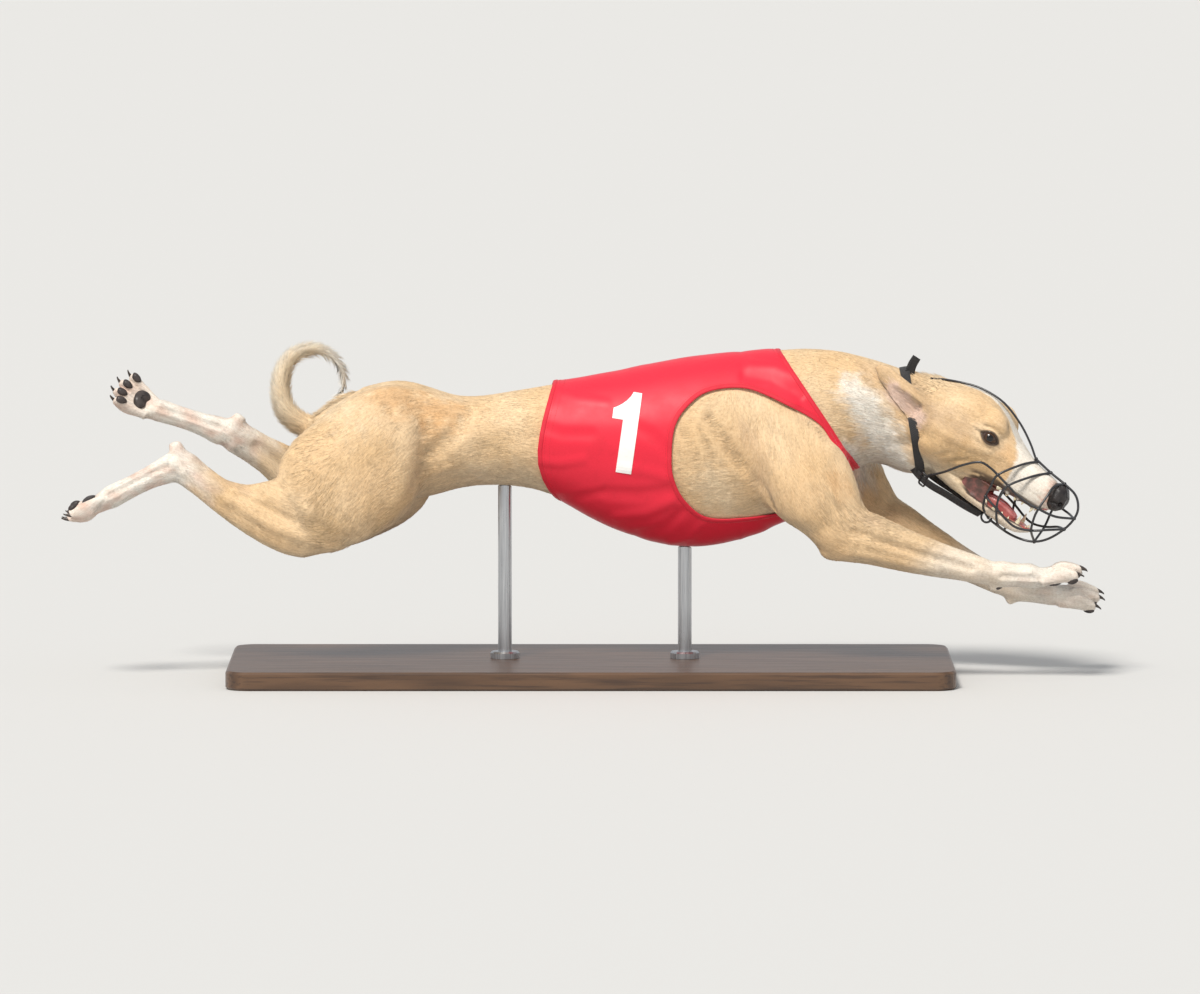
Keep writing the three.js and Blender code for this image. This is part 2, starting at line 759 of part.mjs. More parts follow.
// A prism of an outline drawn in the dog's upright plane, with x across and y up.
function uprightPrism(shape, depth, middleY = 0) {
  const prism = new THREE.ExtrudeGeometry(shape, { depth, bevelEnabled: false, curveSegments: 8 });
  prism.rotateX(Math.PI / 2);
  prism.translate(0, middleY + depth / 2, 0);
  return solidFrom(prism);
}

// What lies behind the vest's hem, which bows back along the flanks.
function behindHem() {
  const edge = new THREE.Shape();
  edge.moveTo(-500, 520);
  edge.lineTo(-30, 520);
  edge.lineTo(-44, 392);
  edge.bezierCurveTo(-58, 345, -74, 300, -60, 262);
  edge.bezierCurveTo(-46, 235, -20, 205, 6, 195);
  edge.lineTo(16, 60);
  edge.lineTo(-500, 60);
  edge.closePath();
  return uprightPrism(edge, 300);
}

const ARMHOLE = [
  [101, 290], [105, 332], [122, 358], [152, 375], [203, 375], [259, 349], [305, 321], [334, 292],
  [340, 262], [306, 232], [252, 218], [203, 210], [150, 211], [120, 234], [105, 262],
];

function armholes() {
  const outline = new THREE.SplineCurve(ARMHOLE.map(([x, z]) => new THREE.Vector2(x, z)));
  const hole = new THREE.Shape(outline.getPoints(30));
  return bothSides((side) => uprightPrism(hole, 150, side * 110));
}

const vestOuter = trunk(VEST.ease + VEST.thickness);
const vestInner = trunk(VEST.ease);
const vestNeckEdge = aheadOfNeckFoot(-3);

function vest(...clear) {
  return cut(vestOuter, behindHem(), vestNeckEdge, vestInner, ...armholes(), ...clear);
}

function digitOne() {
  const { height, stem, flag } = NUMBER;
  const one = new THREE.Shape();
  one.moveTo(0, 0);
  one.lineTo(stem, 0);
  one.lineTo(stem, height);
  one.lineTo(stem - 11, height);
  one.bezierCurveTo(stem - 15, height - 12, -8, height - 20, -flag, height - 23);
  one.lineTo(-flag, height - 36);
  one.lineTo(0, height - 36);
  one.closePath();
  return one;
}

// The number follows the vest's curve, and stands just clear of it.
function number(side) {
  const depth = 80;
  const settings = { depth, bevelEnabled: false, curveSegments: 4 };
  const plate = new THREE.ExtrudeGeometry(digitOne(), settings);
  plate.rotateX(Math.PI / 2);
  plate.translate(0, depth / 2, 0);
  plate.rotateY(rad(NUMBER.lean));
  if (side === LEFT) plate.rotateZ(Math.PI);
  plate.translate(side === RIGHT ? NUMBER.xRight : NUMBER.xLeft, side * depth, NUMBER.z);
  const under = VEST.ease + VEST.thickness + GAP;
  return solidFrom(plate).intersect(trunk(under + NUMBER.thickness)).subtract(trunk(under));
}

// Stand

function standBase() {
  const { length, width, thickness, corner, edge } = BASE;
  const [x, y] = [length / 2 - edge, width / 2 - edge];
  const plan = new THREE.Shape();
  plan.moveTo(-x + corner, -y);
  plan.lineTo(x - corner, -y);
  plan.absarc(x - corner, -y + corner, corner, -Math.PI / 2, 0);
  plan.absarc(x - corner, y - corner, corner, 0, Math.PI / 2);
  plan.absarc(-x + corner, y - corner, corner, Math.PI / 2, Math.PI);
  plan.absarc(-x + corner, -y + corner, corner, Math.PI, Math.PI * 1.5);
  const slab = new THREE.ExtrudeGeometry(plan, {
    depth: thickness - 2 * edge,
    bevelThickness: edge,
    bevelSize: edge,
    bevelSegments: 1,
    curveSegments: 4,
  });
  slab.translate(0, 0, edge);
  return solidFrom(slab);
}

// A rod with a collar at its foot, its top cut to the shape of what it carries.
function standRod(x, top, carried) {
  const { radius, collarRadius, collarHeight, bevel, sides } = ROD;
  const foot = BASE.thickness + GAP;
  const profile = [
    [0, foot],
    [collarRadius, foot],
    [collarRadius, foot + collarHeight - bevel],
    [collarRadius - bevel, foot + collarHeight],
    [radius, foot + collarHeight],
    [radius, top],
    [0, top],
  ].map(([reach, height]) => new THREE.Vector2(reach, height));
  const turned = new THREE.LatheGeometry(profile, sides);
  turned.rotateX(Math.PI / 2);
  turned.translate(x, 0, 0);
  return cut(solidFrom(turned), ...carried);
}

// Assembly

const dog = new THREE.Group();
dog.name = "greyhound_on_stand";

const COATS = {
  fawn: { color: 0xd9b98c, roughness: 0.85, metalness: 0 },
  white: { color: 0xece3d6, roughness: 0.85, metalness: 0 },
  nose: { color: 0x241c1c, roughness: 0.4, metalness: 0 },
  eye: { color: 0x2b1708, roughness: 0.08, metalness: 0 },
  tongue: { color: 0xc9656a, roughness: 0.4, metalness: 0 },
  vest: { color: 0xd0142c, roughness: 0.6, metalness: 0 },
  number: { color: 0xf2f1ec, roughness: 0.7, metalness: 0 },
  wire: { color: 0x17171a, roughness: 0.35, metalness: 0.3 },
  webbing: { color: 0x141416, roughness: 0.85, metalness: 0 },
  base: { color: 0x4a3425, roughness: 0.5, metalness: 0 },
  steel: { color: 0xb9bcc0, roughness: 0.3, metalness: 1 },
};

function add(name, solid, coat) {
  const whole = largest(solid);
  const mesh = whole.getMesh();
  const geometry = new THREE.BufferGeometry();
  const places = new Float32Array(mesh.numVert * 3);
  for (let i = 0; i < mesh.numVert; i += 1) {
    places.set(mesh.vertProperties.subarray(i * mesh.numProp, i * mesh.numProp + 3), i * 3);
  }
  geometry.setAttribute("position", new THREE.BufferAttribute(places, 3));
  geometry.setIndex(new THREE.BufferAttribute(new Uint32Array(mesh.triVerts), 1));
  geometry.computeVertexNormals();
  const piece = new THREE.Mesh(geometry, new THREE.MeshStandardMaterial(COATS[coat]));
  piece.name = name;
  dog.add(piece);
}

// The trunk is one skin, parted at the foot of the neck.
const trunkGrown = trunk(GAP);
const vestGrown = trunk(VEST.ease + VEST.thickness + GAP);
const torso = cut(trunk(), aheadOfNeckFoot(-GAP));
const neckWhole = trunk().intersect(aheadOfNeckFoot(0));

const skullGrown = skull(GAP);
const jawGrown = jaw(GAP);
const earsGrown = bothSides((side) => ear(side, GAP));
const headGrown = onHead(join(skullGrown, jawGrown));

add("torso", torso, "fawn");
add("neck", cut(neckWhole, headGrown, ...earsGrown.map(onHead)), "fawn");

// Each eye is a ball in its socket, behind a slit between the lids.
const eyeball = (side, radius) =>
  ellipsoid(point(EYE.x, side * EYE.y, EYE.z), point(radius, radius, radius), 0, [12, 7]);
const eyeSpaces = bothSides((side) =>
  join(
    eyeball(side, EYE.radius + 2 * GAP),
    ellipsoid(point(EYE.x + 2, side * (EYE.y + 9), EYE.z), EYE_SLIT, 24, [10, 6]),
  ),
);
const upperTeeth = teeth(-1, -19, 194, 13);
const lowerTeeth = teeth(1, -43, 188, 12);
const noseGrown = nose(GAP);
const headSolid = join(cut(skull(), noseGrown, ...eyeSpaces, ...earsGrown), upperTeeth);
add("head", onHead(headSolid), "fawn");
add("nose", onHead(cut(nose(), nostrils())), "nose");
add("eye_right", onHead(eyeball(RIGHT, EYE.radius)), "eye");
add("eye_left", onHead(eyeball(LEFT, EYE.radius)), "eye");
const jawSolid = join(cut(jaw(), mouthFloor()), lowerTeeth);
add("lower_jaw", onHead(cut(jawSolid, join(skullGrown, upperTeeth))), "fawn");
const jawRoom = join(cut(jawGrown, mouthFloor(GAP)), lowerTeeth);
add("tongue", onHead(cut(tongue(), skullGrown, jawRoom)), "tongue");
add("ear_right", onHead(ear(RIGHT)), "fawn");
add("ear_left", onHead(ear(LEFT)), "fawn");

const forelegs = bothSides((side) => cut(foreleg(side), trunkGrown));
add("foreleg_right", forelegs[0], "fawn");
add("foreleg_left", forelegs[1], "fawn");
const hindlegs = bothSides((side) => cut(hindleg(side), trunkGrown));
add("hindleg_right", hindlegs[0], "fawn");
add("hindleg_left", hindlegs[1], "fawn");
const hindlegsGrown = bothSides((side) => hindleg(side, GAP));
add("tail", cut(tail(), trunkGrown, ...hindlegsGrown), "fawn");

const forelegsGrown = bothSides((side) => foreleg(side, GAP));
add("racing_vest", vest(...forelegsGrown), "vest");
add("number_right", number(RIGHT), "number");
add("number_left", number(LEFT), "number");

const strapOver = join(
  trunk(GAP + STRAP.thickness),
  onHead(join(skull(GAP + STRAP.thickness), jaw(GAP + STRAP.thickness))),
);
const band = strapBand(strapOver, trunkGrown, headGrown, ...earsGrown.map(onHead));
const chinStraps = bothSides((side) => onHead(cut(chinStrap(side), jawGrown)));
const webbing = cut(join(band, ...chinStraps, strapTab()), trunkGrown, headGrown);
add("muzzle_strap", webbing, "webbing");
const cage = onHead(cut(join(basket(), browWire()), skullGrown, jawGrown, noseGrown));
add("muzzle_basket", cut(cage, join(band, strapTab(), ...chinStraps)), "wire");

add("stand_base", standBase(), "base");
const insideTrunk = { front: 230, rear: 290 };
add("stand_rod_front", standRod(ROD.frontX, insideTrunk.front, [vestGrown]), "steel");
add("stand_rod_rear", standRod(ROD.rearX, insideTrunk.rear, [trunkGrown]), "steel");

export default dog;
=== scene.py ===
# A racing greyhound at full stretch, life size, on a plain display stand.
#
# Metres, +X towards the dog's head, +Y to its left, +Z up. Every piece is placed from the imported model.
# The photograph shows the dog's right side from a little above, and the camera stands there.

import math

import bmesh
import bpy
import numpy as np
from mathutils import Matrix, Vector
from mathutils.bvhtree import BVHTree


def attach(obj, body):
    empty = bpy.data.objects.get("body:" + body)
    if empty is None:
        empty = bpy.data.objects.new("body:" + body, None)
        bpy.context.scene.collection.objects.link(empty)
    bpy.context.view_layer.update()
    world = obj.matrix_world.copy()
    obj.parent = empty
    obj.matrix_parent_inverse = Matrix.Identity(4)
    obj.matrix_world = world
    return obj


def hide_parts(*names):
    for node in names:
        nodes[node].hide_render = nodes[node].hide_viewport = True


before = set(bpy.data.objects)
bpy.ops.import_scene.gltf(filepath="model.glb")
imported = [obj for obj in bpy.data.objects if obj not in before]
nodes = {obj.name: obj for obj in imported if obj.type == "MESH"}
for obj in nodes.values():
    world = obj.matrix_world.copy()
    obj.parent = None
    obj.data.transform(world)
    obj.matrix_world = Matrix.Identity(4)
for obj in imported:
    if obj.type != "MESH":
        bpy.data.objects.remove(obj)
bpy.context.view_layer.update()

# Camera
# A long lens far off on the dog's right, a little above it. One pixel of the photograph is 1.3 mm here.

IMAGE_WIDTH = 1200
PIXEL = 0.0013
CAMERA_TARGET = Vector((0.0117, 0, 0.2345))
CAMERA_DISTANCE = 12
CAMERA_RISE = math.radians(5)
SENSOR = 36

camera_data = bpy.data.cameras.new("camera")
camera_data.sensor_width = SENSOR
camera_data.lens = SENSOR * CAMERA_DISTANCE / (IMAGE_WIDTH * PIXEL)
camera = bpy.data.objects.new("camera", camera_data)
bpy.context.scene.collection.objects.link(camera)
back = Vector((0, -math.cos(CAMERA_RISE), math.sin(CAMERA_RISE)))
camera.location = CAMERA_TARGET + back * CAMERA_DISTANCE
camera.rotation_euler = (math.pi / 2 - CAMERA_RISE, 0, 0)
bpy.context.scene.camera = camera

# Skeleton lines
# The skin, its markings and the lie of the coat all follow the lines of the bones. Each leg runs
# from its upper joint down to the knuckles, and the trunk's line from the root of the tail to the poll.

RIGHT, LEFT = -1, 1
BOTH = (RIGHT, LEFT)
SIDES = {"right": RIGHT, "left": LEFT}


def side_of(name):
    return RIGHT if name.endswith("right") else LEFT


def mirrored(line, side):
    """A line drawn for both sides of the dog, on one of them."""
    return np.array(line, float) * (1, side, 1)


LEG_LINES = {
    "foreleg_right": [(218, -58, 355), (329, -74, 187), (516, -56, 140), (593, -56, 137)],
    "foreleg_left": [(244, 58, 355), (373, 70, 200), (545, 46, 113), (621, 46, 102)],
    "hindleg_right": [(-263, -58, 337), (-353, -82, 193), (-532, -58, 286), (-639, -56, 230)],
    "hindleg_left": [(-256, 58, 334), (-323, 111, 185), (-470, 59, 314), (-585, 59, 350)],
}
LEG_LINES = {name: np.array(line) / 1000 for name, line in LEG_LINES.items()}
TRUNK_LINE = np.array([
    (-366, 0, 306), (-244, 0, 304), (-108, 0, 311), (77, 0, 304), (195, 0, 311), (298, 0, 350),
    (388, -1, 341), (452, -9, 322),
]) / 1000

# Toes: the direction they point in, and the direction of the back of the paw.
PAWS = {
    "foreleg_right": dict(angle=16, roll=0, toe=0.044),
    "foreleg_left": dict(angle=4, roll=24, toe=0.044),
    "hindleg_right": dict(angle=209, roll=0, toe=0.043),
    "hindleg_left": dict(angle=145, roll=-52, toe=0.043),
}
for name, paw in PAWS.items():
    turn = math.radians(paw["angle"])
    ahead = Vector((math.cos(turn), 0, math.sin(turn)))
    up = Vector((-math.sin(turn), 0, math.cos(turn)))
    up.rotate(Matrix.Rotation(math.radians(paw["roll"] * side_of(name)), 3, ahead))
    paw.update(ahead=ahead, up=up, across=up.cross(ahead), knuckle=Vector(LEG_LINES[name][3]))

# The tail curls up and over into a ring: angle round the ring's middle, and distance from it.
TAIL_MIDDLE = np.array((-0.358, 0, 0.381))
TAIL_RING = np.array([
    (-258, 0.056), (-220, 0.051), (-180, 0.045), (-135, 0.047), (-90, 0.046), (-45, 0.041),
    (0, 0.037), (62, 0.031),
])
TAIL_TIP_SHIFT = 0.016
turns = np.linspace(TAIL_RING[0, 0], TAIL_RING[-1, 0], 17)
reach = np.interp(turns, TAIL_RING[:, 0], TAIL_RING[:, 1])
ring = TAIL_MIDDLE + np.stack([
    np.cos(np.radians(-turns)) * reach,
    TAIL_TIP_SHIFT * np.linspace(0, 1, 17) ** 2,
    np.sin(np.radians(-turns)) * reach,
], axis=1)
TAIL_LINE = np.vstack([[(-0.318, 0, 0.318), (-0.342, 0, 0.321)], ring])

# The head's own frame: x along the muzzle, y to the left, z up, the poll at the origin.
HEAD_DOWN, HEAD_TURN = 32, 20
HEAD = (
    Matrix.Translation((0.4255, -0.006, 0.3428))
    @ Matrix.Rotation(math.radians(-HEAD_TURN), 4, "Z")
    @ Matrix.Rotation(math.radians(HEAD_DOWN), 4, "Y")
)
HEAD_BACK = np.array(HEAD.inverted())
HEAD_TURNED = np.array(HEAD)


def in_head(points):
    """World places in the head's own frame."""
    return points @ HEAD_BACK[:3, :3].T + HEAD_BACK[:3, 3]


def from_head(points):
    return np.asarray(points, float) @ HEAD_TURNED[:3, :3].T + HEAD_TURNED[:3, 3]


def unit(vectors):
    return vectors / np.maximum(np.linalg.norm(vectors, axis=-1, keepdims=True), 1e-9)


def on_line(points, line):
    """For each point: how far along the line it is, its nearest place there, and the line's direction."""
    lengths = np.linalg.norm(np.diff(line, axis=0), axis=1)
    starts = np.concatenate([[0], np.cumsum(lengths)])
    best = np.full(len(points), np.inf)
    along = np.zeros(len(points))
    place = np.zeros((len(points), 3))
    heading = np.zeros((len(points), 3))
    for k in range(len(line) - 1):
        step = line[k + 1] - line[k]
        share = np.clip((points - line[k]) @ step / (step @ step), 0, 1)
        near = line[k] + share[:, None] * step
        gap = np.linalg.norm(points - near, axis=1)
        heading += unit(step) * np.exp(-((gap / 0.02) ** 2))[:, None] + unit(step) * 1e-6
        closer = gap < best
        best = np.where(closer, gap, best)
        along = np.where(closer, starts[k] + share * lengths[k], along)
        place[closer] = near[closer]
    return along, place, unit(heading)


# Skin meshes
# One skin over all the flesh. It is made from merged copies of the body's nodes, closed over with
# fine faces, smoothed and then modelled further. It is cut only under the vest and the neck strap.

FLESH = ["torso", "neck", "foreleg_right", "foreleg_left", "hindleg_right", "hindleg_left", "tail"]
SWELL = 0.0005
BODY_FACE, HEAD_FACE = 0.0026, 0.0014


def gap_to(points, line):
    """How far each point is from a line."""
    return np.linalg.norm(points - on_line(points, line)[1], axis=1)


def select_only(ob):
    bpy.ops.object.select_all(action="DESELECT")
    ob.select_set(True)
    bpy.context.view_layer.objects.active = ob


def smooth(ob):
    ob.data.polygons.foreach_set("use_smooth", [True] * len(ob.data.polygons))


def new_piece(mesh, name):
    ob = bpy.data.objects.new(name, mesh)
    bpy.context.scene.collection.objects.link(ob)
    return ob


def shape_of(ob):
    """The piece's faces, to be worked on."""
    shape = bmesh.new()
    shape.from_mesh(ob.data)
    shape.verts.ensure_lookup_table()
    return shape


def put_back(shape, ob):
    shape.to_mesh(ob.data)
    shape.free()


def piece_from(shape, name):
    """A new piece from worked faces, all turned outwards."""
    bmesh.ops.recalc_face_normals(shape, faces=shape.faces)
    ob = new_piece(bpy.data.meshes.new(name), name)
    put_back(shape, ob)
    return ob


def piece_of(name, corners, faces):
    mesh = bpy.data.meshes.new(name)
    mesh.from_pydata(corners, [], faces)
    return new_piece(mesh, name)


def face_outwards(ob):
    shape = shape_of(ob)
    bmesh.ops.recalc_face_normals(shape, faces=shape.faces)
    put_back(shape, ob)
    smooth(ob)


def merged(names, name, reshape=None):
    """Copies of CAD nodes in one mesh, each let out a little so that they run into one another."""
    whole = bmesh.new()
    for node in names:
        part = bmesh.new()
        part.from_mesh(nodes[node].data)
        bmesh.ops.remove_doubles(part, verts=part.verts, dist=1e-6)
        part.normal_update()
        for vertex in part.verts:
            vertex.co += vertex.normal * SWELL
        if reshape:
            reshape(node, part.verts)
        scrap = bpy.data.meshes.new("scrap")
        part.to_mesh(scrap)
        whole.from_mesh(scrap)
        part.free()
        bpy.data.meshes.remove(scrap)
    ob = new_piece(bpy.data.meshes.new(name), name)
    put_back(whole, ob)
    return ob


def apply(ob, kind, **settings):
    """Adds a modifier to a piece and applies it."""
    select_only(ob)
    modifier = ob.modifiers.new(kind.lower(), kind)
    for key, value in settings.items():
        setattr(modifier, key, value)
    bpy.ops.object.modifier_apply(modifier=modifier.name)


def close_over(ob, size):
    apply(ob, "REMESH", mode="VOXEL", voxel_size=size, adaptivity=0, use_smooth_shade=True)


def read(ob, what="co"):
    """The vertices' places or normals as an array."""
    values = np.empty(len(ob.data.vertices) * 3, np.float32)
    if what == "normal":
        ob.data.vertex_normals.foreach_get("vector", values)
    else:
        ob.data.vertices.foreach_get("co", values)
    return values.reshape(-1, 3).astype(float)


def write(ob, places):
    ob.data.vertices.foreach_set("co", places.astype(np.float32).ravel())
    ob.data.update()


def edge_ends(ob):
    ends = np.empty(len(ob.data.edges) * 2, np.int32)
    ob.data.edges.foreach_get("vertices", ends)
    return ends.reshape(-1, 2).T


def relax(ob, values, weight, rounds, keep_size):
    """Evens out values over the mesh. With keep_size a second, outward step stops it shrinking."""
    a, b = edge_ends(ob)
    count = len(ob.data.vertices)
    degree = np.maximum(np.bincount(a, minlength=count) + np.bincount(b, minlength=count), 1)
    flat = values.reshape(count, -1).astype(float)
    weight = np.broadcast_to(weight, (count,))[:, None]
    for _ in range(rounds):
        for share in (0.6, -0.61) if keep_size else (0.6,):
            mean = np.stack([
                (np.bincount(a, column[b], count) + np.bincount(b, column[a], count)) / degree
                for column in flat.T
            ], axis=1)
            flat = flat + (mean - flat) * weight * share
    return flat.reshape(values.shape)


def relaxed(ob, weight, rounds, keep_size=True):
    write(ob, relax(ob, read(ob), weight, rounds, keep_size))


def keep_vertices(ob, keep):
    """Deletes all but these vertices."""
    shape = shape_of(ob)
    bmesh.ops.delete(shape, geom=[v for v, kept in zip(shape.verts, keep) if not kept], context="VERTS")
    put_back(shape, ob)


def keep_main_island(ob):
    """Deletes every loose scrap, so that one connected skin is left."""
    a, b = edge_ends(ob)
    label = np.arange(len(ob.data.vertices))
    while True:
        low = np.minimum(label[a], label[b])
        new = label.copy()
        np.minimum.at(new, a, low)
        np.minimum.at(new, b, low)
        new = new[new]
        if (new == label).all():
            break
        label = new
    largest = np.bincount(label).argmax()
    if (label != largest).any():
        keep_vertices(ob, label == largest)


def tree_of(ob):
    """A piece's or node's faces, to look up the nearest place on them or what a ray hits."""
    mesh = ob.data
    mesh.calc_loop_triangles()
    triangles = [tuple(t.vertices) for t in mesh.loop_triangles]
    return BVHTree.FromPolygons([v.co.copy() for v in mesh.vertices], triangles)


def nearest_gap(tree, points):
    return np.array([tree.find_nearest(Vector(p))[3] for p in points])


skin = merged(FLESH + ["head"], "skin")
close_over(skin, BODY_FACE)
keep_main_island(skin)


# Body skin
# The living shape under the coat: the smooth trunk, the long muscles of the shoulder and thigh, the
# tendons of the shins and the knuckled toes. Raised and sunken lines are pressed into the fine skin.

STRAP_MIDDLE = np.array((0.417, 0, 0.334))
STRAP_LEAN = math.radians(9)
STRAP_NORMAL = np.array((math.cos(STRAP_LEAN), 0, math.sin(STRAP_LEAN)))
SKIN_UNDER_VEST = (0.030, 0.085)
PAW_REACH = 0.075


def past_strap(points):
    return (points - STRAP_MIDDLE) @ STRAP_NORMAL


def smoothly(value, low, high):
    """0 below low, 1 above high, and a soft step between."""
    share = np.clip((value - low) / (high - low), 0, 1)
    return share * share * (3 - 2 * share)


def paw_distance(points):
    return np.min([np.linalg.norm(points - np.array(p["knuckle"]), axis=1) for p in PAWS.values()], axis=0)


def leg_distance(points, name):
    """Distance from the line of a leg's lower bones, below the elbow or the knee."""
    return gap_to(points, LEG_LINES[name][1:])


def nearest_leg(points):
    return np.min([leg_distance(points, name) for name in LEG_LINES], axis=0)


def press(points, normals, line, radius, height, facing=None):
    """Raises the surface along a line, or sinks it where height is negative, fading out at radius."""
    share = np.clip(1 - (gap_to(points, line) / radius) ** 2, 0, 1) ** 2
    if facing is not None:
        share = share * np.clip(2 * normals @ np.array(facing, float) + 0.3, 0, 1)
    points += normals * (share * height)[:, None]


points = read(skin)
below_head = points[:, 2] < 0.228 - 0.45 * (points[:, 0] - 0.45)
low, high = SKIN_UNDER_VEST
hidden = (points[:, 0] > low) & (points[:, 0] < high)
keep_vertices(skin, ((past_strap(points) < 0.004) | below_head) & ~hidden)
points = read(skin)
softness = 0.12 + 0.88 * smoothly(nearest_leg(points), 0.030, 0.075)
softness *= 0.16 + 0.84 * smoothly(gap_to(points, TAIL_LINE[1:]), 0.02, 0.05)
softness *= 0.10 + 0.90 * smoothly(paw_distance(points), 0.04, PAW_REACH)
relaxed(skin, softness, 60, keep_size=False)

# Each line: the places it runs through, its reach, and how far it is raised, in millimetres. The
# lists are for both sides of the dog: y is the distance from the middle.
FORMS_EACH_SIDE = [
    ([(-281, 45, 372), (-242, 42, 386), (-205, 38, 376), (-172, 36, 358)], 22, 2.5),  # croup
    ([(-160, 50, 352), (-176, 60, 322), (-205, 66, 298)], 17, -4.0),  # hollow before the haunch
    ([(-140, 55, 300), (-110, 58, 312), (-60, 60, 322)], 26, -2.0),  # loin under the long back muscle
    ([(-262, 74, 357), (-260, 78, 320), (-262, 80, 285)], 15, -2.6),  # behind the front thigh muscle
    ([(-266, 82, 280), (-290, 86, 230), (-318, 84, 190)], 16, -3.2),
    ([(-232, 74, 330), (-236, 84, 285), (-250, 90, 240)], 24, 3.0),  # front thigh muscle
    ([(-300, 76, 330), (-312, 82, 280), (-335, 84, 235)], 26, 3.0),  # rear thigh muscle
    ([(-186, 58, 276), (-222, 70, 250), (-262, 80, 216), (-300, 86, 186)], 15, 2.0),  # flank fold
    ([(-176, 58, 262), (-212, 66, 234), (-250, 74, 202)], 15, -1.8),
    ([(-98, 40, 246), (-140, 44, 254), (-186, 48, 262)], 18, -1.4),
]
FORMS_SHOULDER = [
    ([(153, 78, 343), (180, 84, 304), (206, 88, 268), (222, 86, 236)], 13, -5.5),  # behind the triceps
    ([(214, 86, 262), (224, 84, 240), (232, 78, 222)], 10, -5.0),
    ([(232, 92, 300), (252, 96, 264), (276, 94, 226)], 34, 5.0),  # triceps
    ([(196, 86, 352), (222, 90, 318), (244, 92, 282)], 11, -2.6),  # before the triceps
    ([(226, 80, 358), (262, 86, 330), (300, 86, 302)], 24, 3.0),  # muscle before the shoulder blade
    ([(276, 88, 326), (296, 90, 286), (312, 88, 250)], 12, -2.2),
    ([(318, 84, 300), (334, 86, 276), (342, 84, 248)], 22, 3.0),  # point of the shoulder
    ([(120, 84, 330), (134, 88, 300), (140, 90, 262)], 9, -0.9),  # ribs
    ([(142, 84, 330), (156, 88, 296), (160, 90, 250)], 9, -0.9),
]
FORMS_NECK = [
    ([(432, 40, 318), (396, 48, 304), (352, 56, 296)], 15, -3.2),  # furrow down the neck
    ([(420, 36, 360), (380, 44, 362), (332, 56, 372)], 26, 2.6),  # muscle above it
    ([(430, 26, 290), (396, 32, 274), (350, 42, 272)], 18, 1.6),
    ([(398, 46, 336), (384, 49, 318), (372, 50, 296)], 7, -1.2),
    ([(384, 47, 344), (368, 52, 326), (354, 54, 304)], 7, -1.0),
]


def press_list(ob, forms):
    for line, radius, height in forms:
        for side in BOTH:
            points = read(ob)
            normals = read(ob, "normal")
            drawn = mirrored(line, side) / 1000
            press(points, normals, drawn, radius / 1000, height / 1000, (0, side, 0))
            write(ob, points)


press_list(skin, FORMS_EACH_SIDE + FORMS_SHOULDER + FORMS_NECK)

# The lower legs: place along the bones (bone, share), reach to the front and outward, in millimetres.
# "front" is the side that leads when the leg swings forwards.


def leg_place(name, bone, share, front, outward):
    line = LEG_LINES[name]
    start, end = line[bone], line[bone + 1]
    heading = unit(end - start)
    up = np.array((-heading[2], 0, heading[0]))
    up = unit(up - heading * (up @ heading))
    out = np.array((0, side_of(name), 0))
    out = unit(out - heading * (out @ heading))
    return start + (end - start) * share + up * front / 1000 + out * outward / 1000, up, out


# Rows: bone, then the line's places as (share, front, outward), reach, height, and the side it faces.
LEG_FORMS = {
    "hindleg": [
        (1, [(0.44, -14, 22), (0.62, -12, 16), (0.82, -9, 13)], 13, -3.6, 1),  # before the heel tendon
        (1, [(0.44, -14, -22), (0.62, -12, -16), (0.82, -9, -13)], 13, -3.6, -1),
        (1, [(0.10, -22, 26), (0.30, -26, 26), (0.48, -22, 20)], 18, 3.0, 1),  # calf
        (1, [(0.08, 12, 26), (0.30, 16, 26), (0.60, 12, 16)], 12, 1.8, 1),  # front shin muscle
        (1, [(0.16, -2, 28), (0.36, -2, 26), (0.56, 0, 18)], 8, -2.6, 1),
        (1, [(0.95, 10, 12), (1.02, 4, 14)], 10, 2.0, 1),  # ankle knob
        (1, [(0.95, 10, -12), (1.02, 4, -14)], 10, 2.0, -1),
        (2, [(0.14, -3, 13), (0.5, -4, 13), (0.82, -3, 15)], 6, -2.4, 1),  # tendons of the long foot
        (2, [(0.14, -3, -13), (0.5, -4, -13), (0.82, -3, -15)], 6, -2.4, -1),
        (2, [(0.18, 12, 3), (0.5, 11, 3), (0.86, 12, 3)], 5, 1.2, 0),
        (0, [(0.98, 34, 6), (1.03, 22, 6)], 16, 3.0, 0),  # kneecap
    ],
    "foreleg": [
        (1, [(0.02, 14, 22), (0.22, 8, 24), (0.55, 4, 19), (0.85, 2, 15)], 8, -2.8, 1),
        (1, [(0.06, 30, 12), (0.25, 26, 14), (0.5, 18, 12)], 16, 2.4, 1),  # forearm muscle
        (1, [(0.10, -14, 20), (0.35, -13, 18), (0.62, -12, 14)], 9, 1.8, 1),
        (1, [(0.10, -2, -22), (0.4, -2, -20), (0.8, -1, -15)], 8, -2.2, -1),
        (1, [(0.94, 4, 15), (1.02, 2, 16)], 9, 1.6, 1),  # wrist
        (2, [(0.2, -2, 15), (0.55, -3, 15), (0.85, -2, 18)], 6, -2.0, 1),
        (2, [(0.2, -2, -15), (0.55, -3, -15), (0.85, -2, -18)], 6, -2.0, -1),
        (0, [(0.82, 20, 30), (0.94, 26, 24), (1.02, 30, 20)], 14, -2.0, 1),  # bend of the elbow
    ],
}


def press_leg(ob, name):
    kind = name.split("_")[0]
    for bone, places, radius, height, facing in LEG_FORMS[kind]:
        found = [leg_place(name, bone, *place) for place in places]
        line = [place for place, _, _ in found]
        _, up, out = found[0]
        toward = {1: out, -1: -out, 0: up}[facing]
        points = read(ob)
        press(points, read(ob, "normal"), line, radius / 1000, height / 1000, toward)
        write(ob, points)


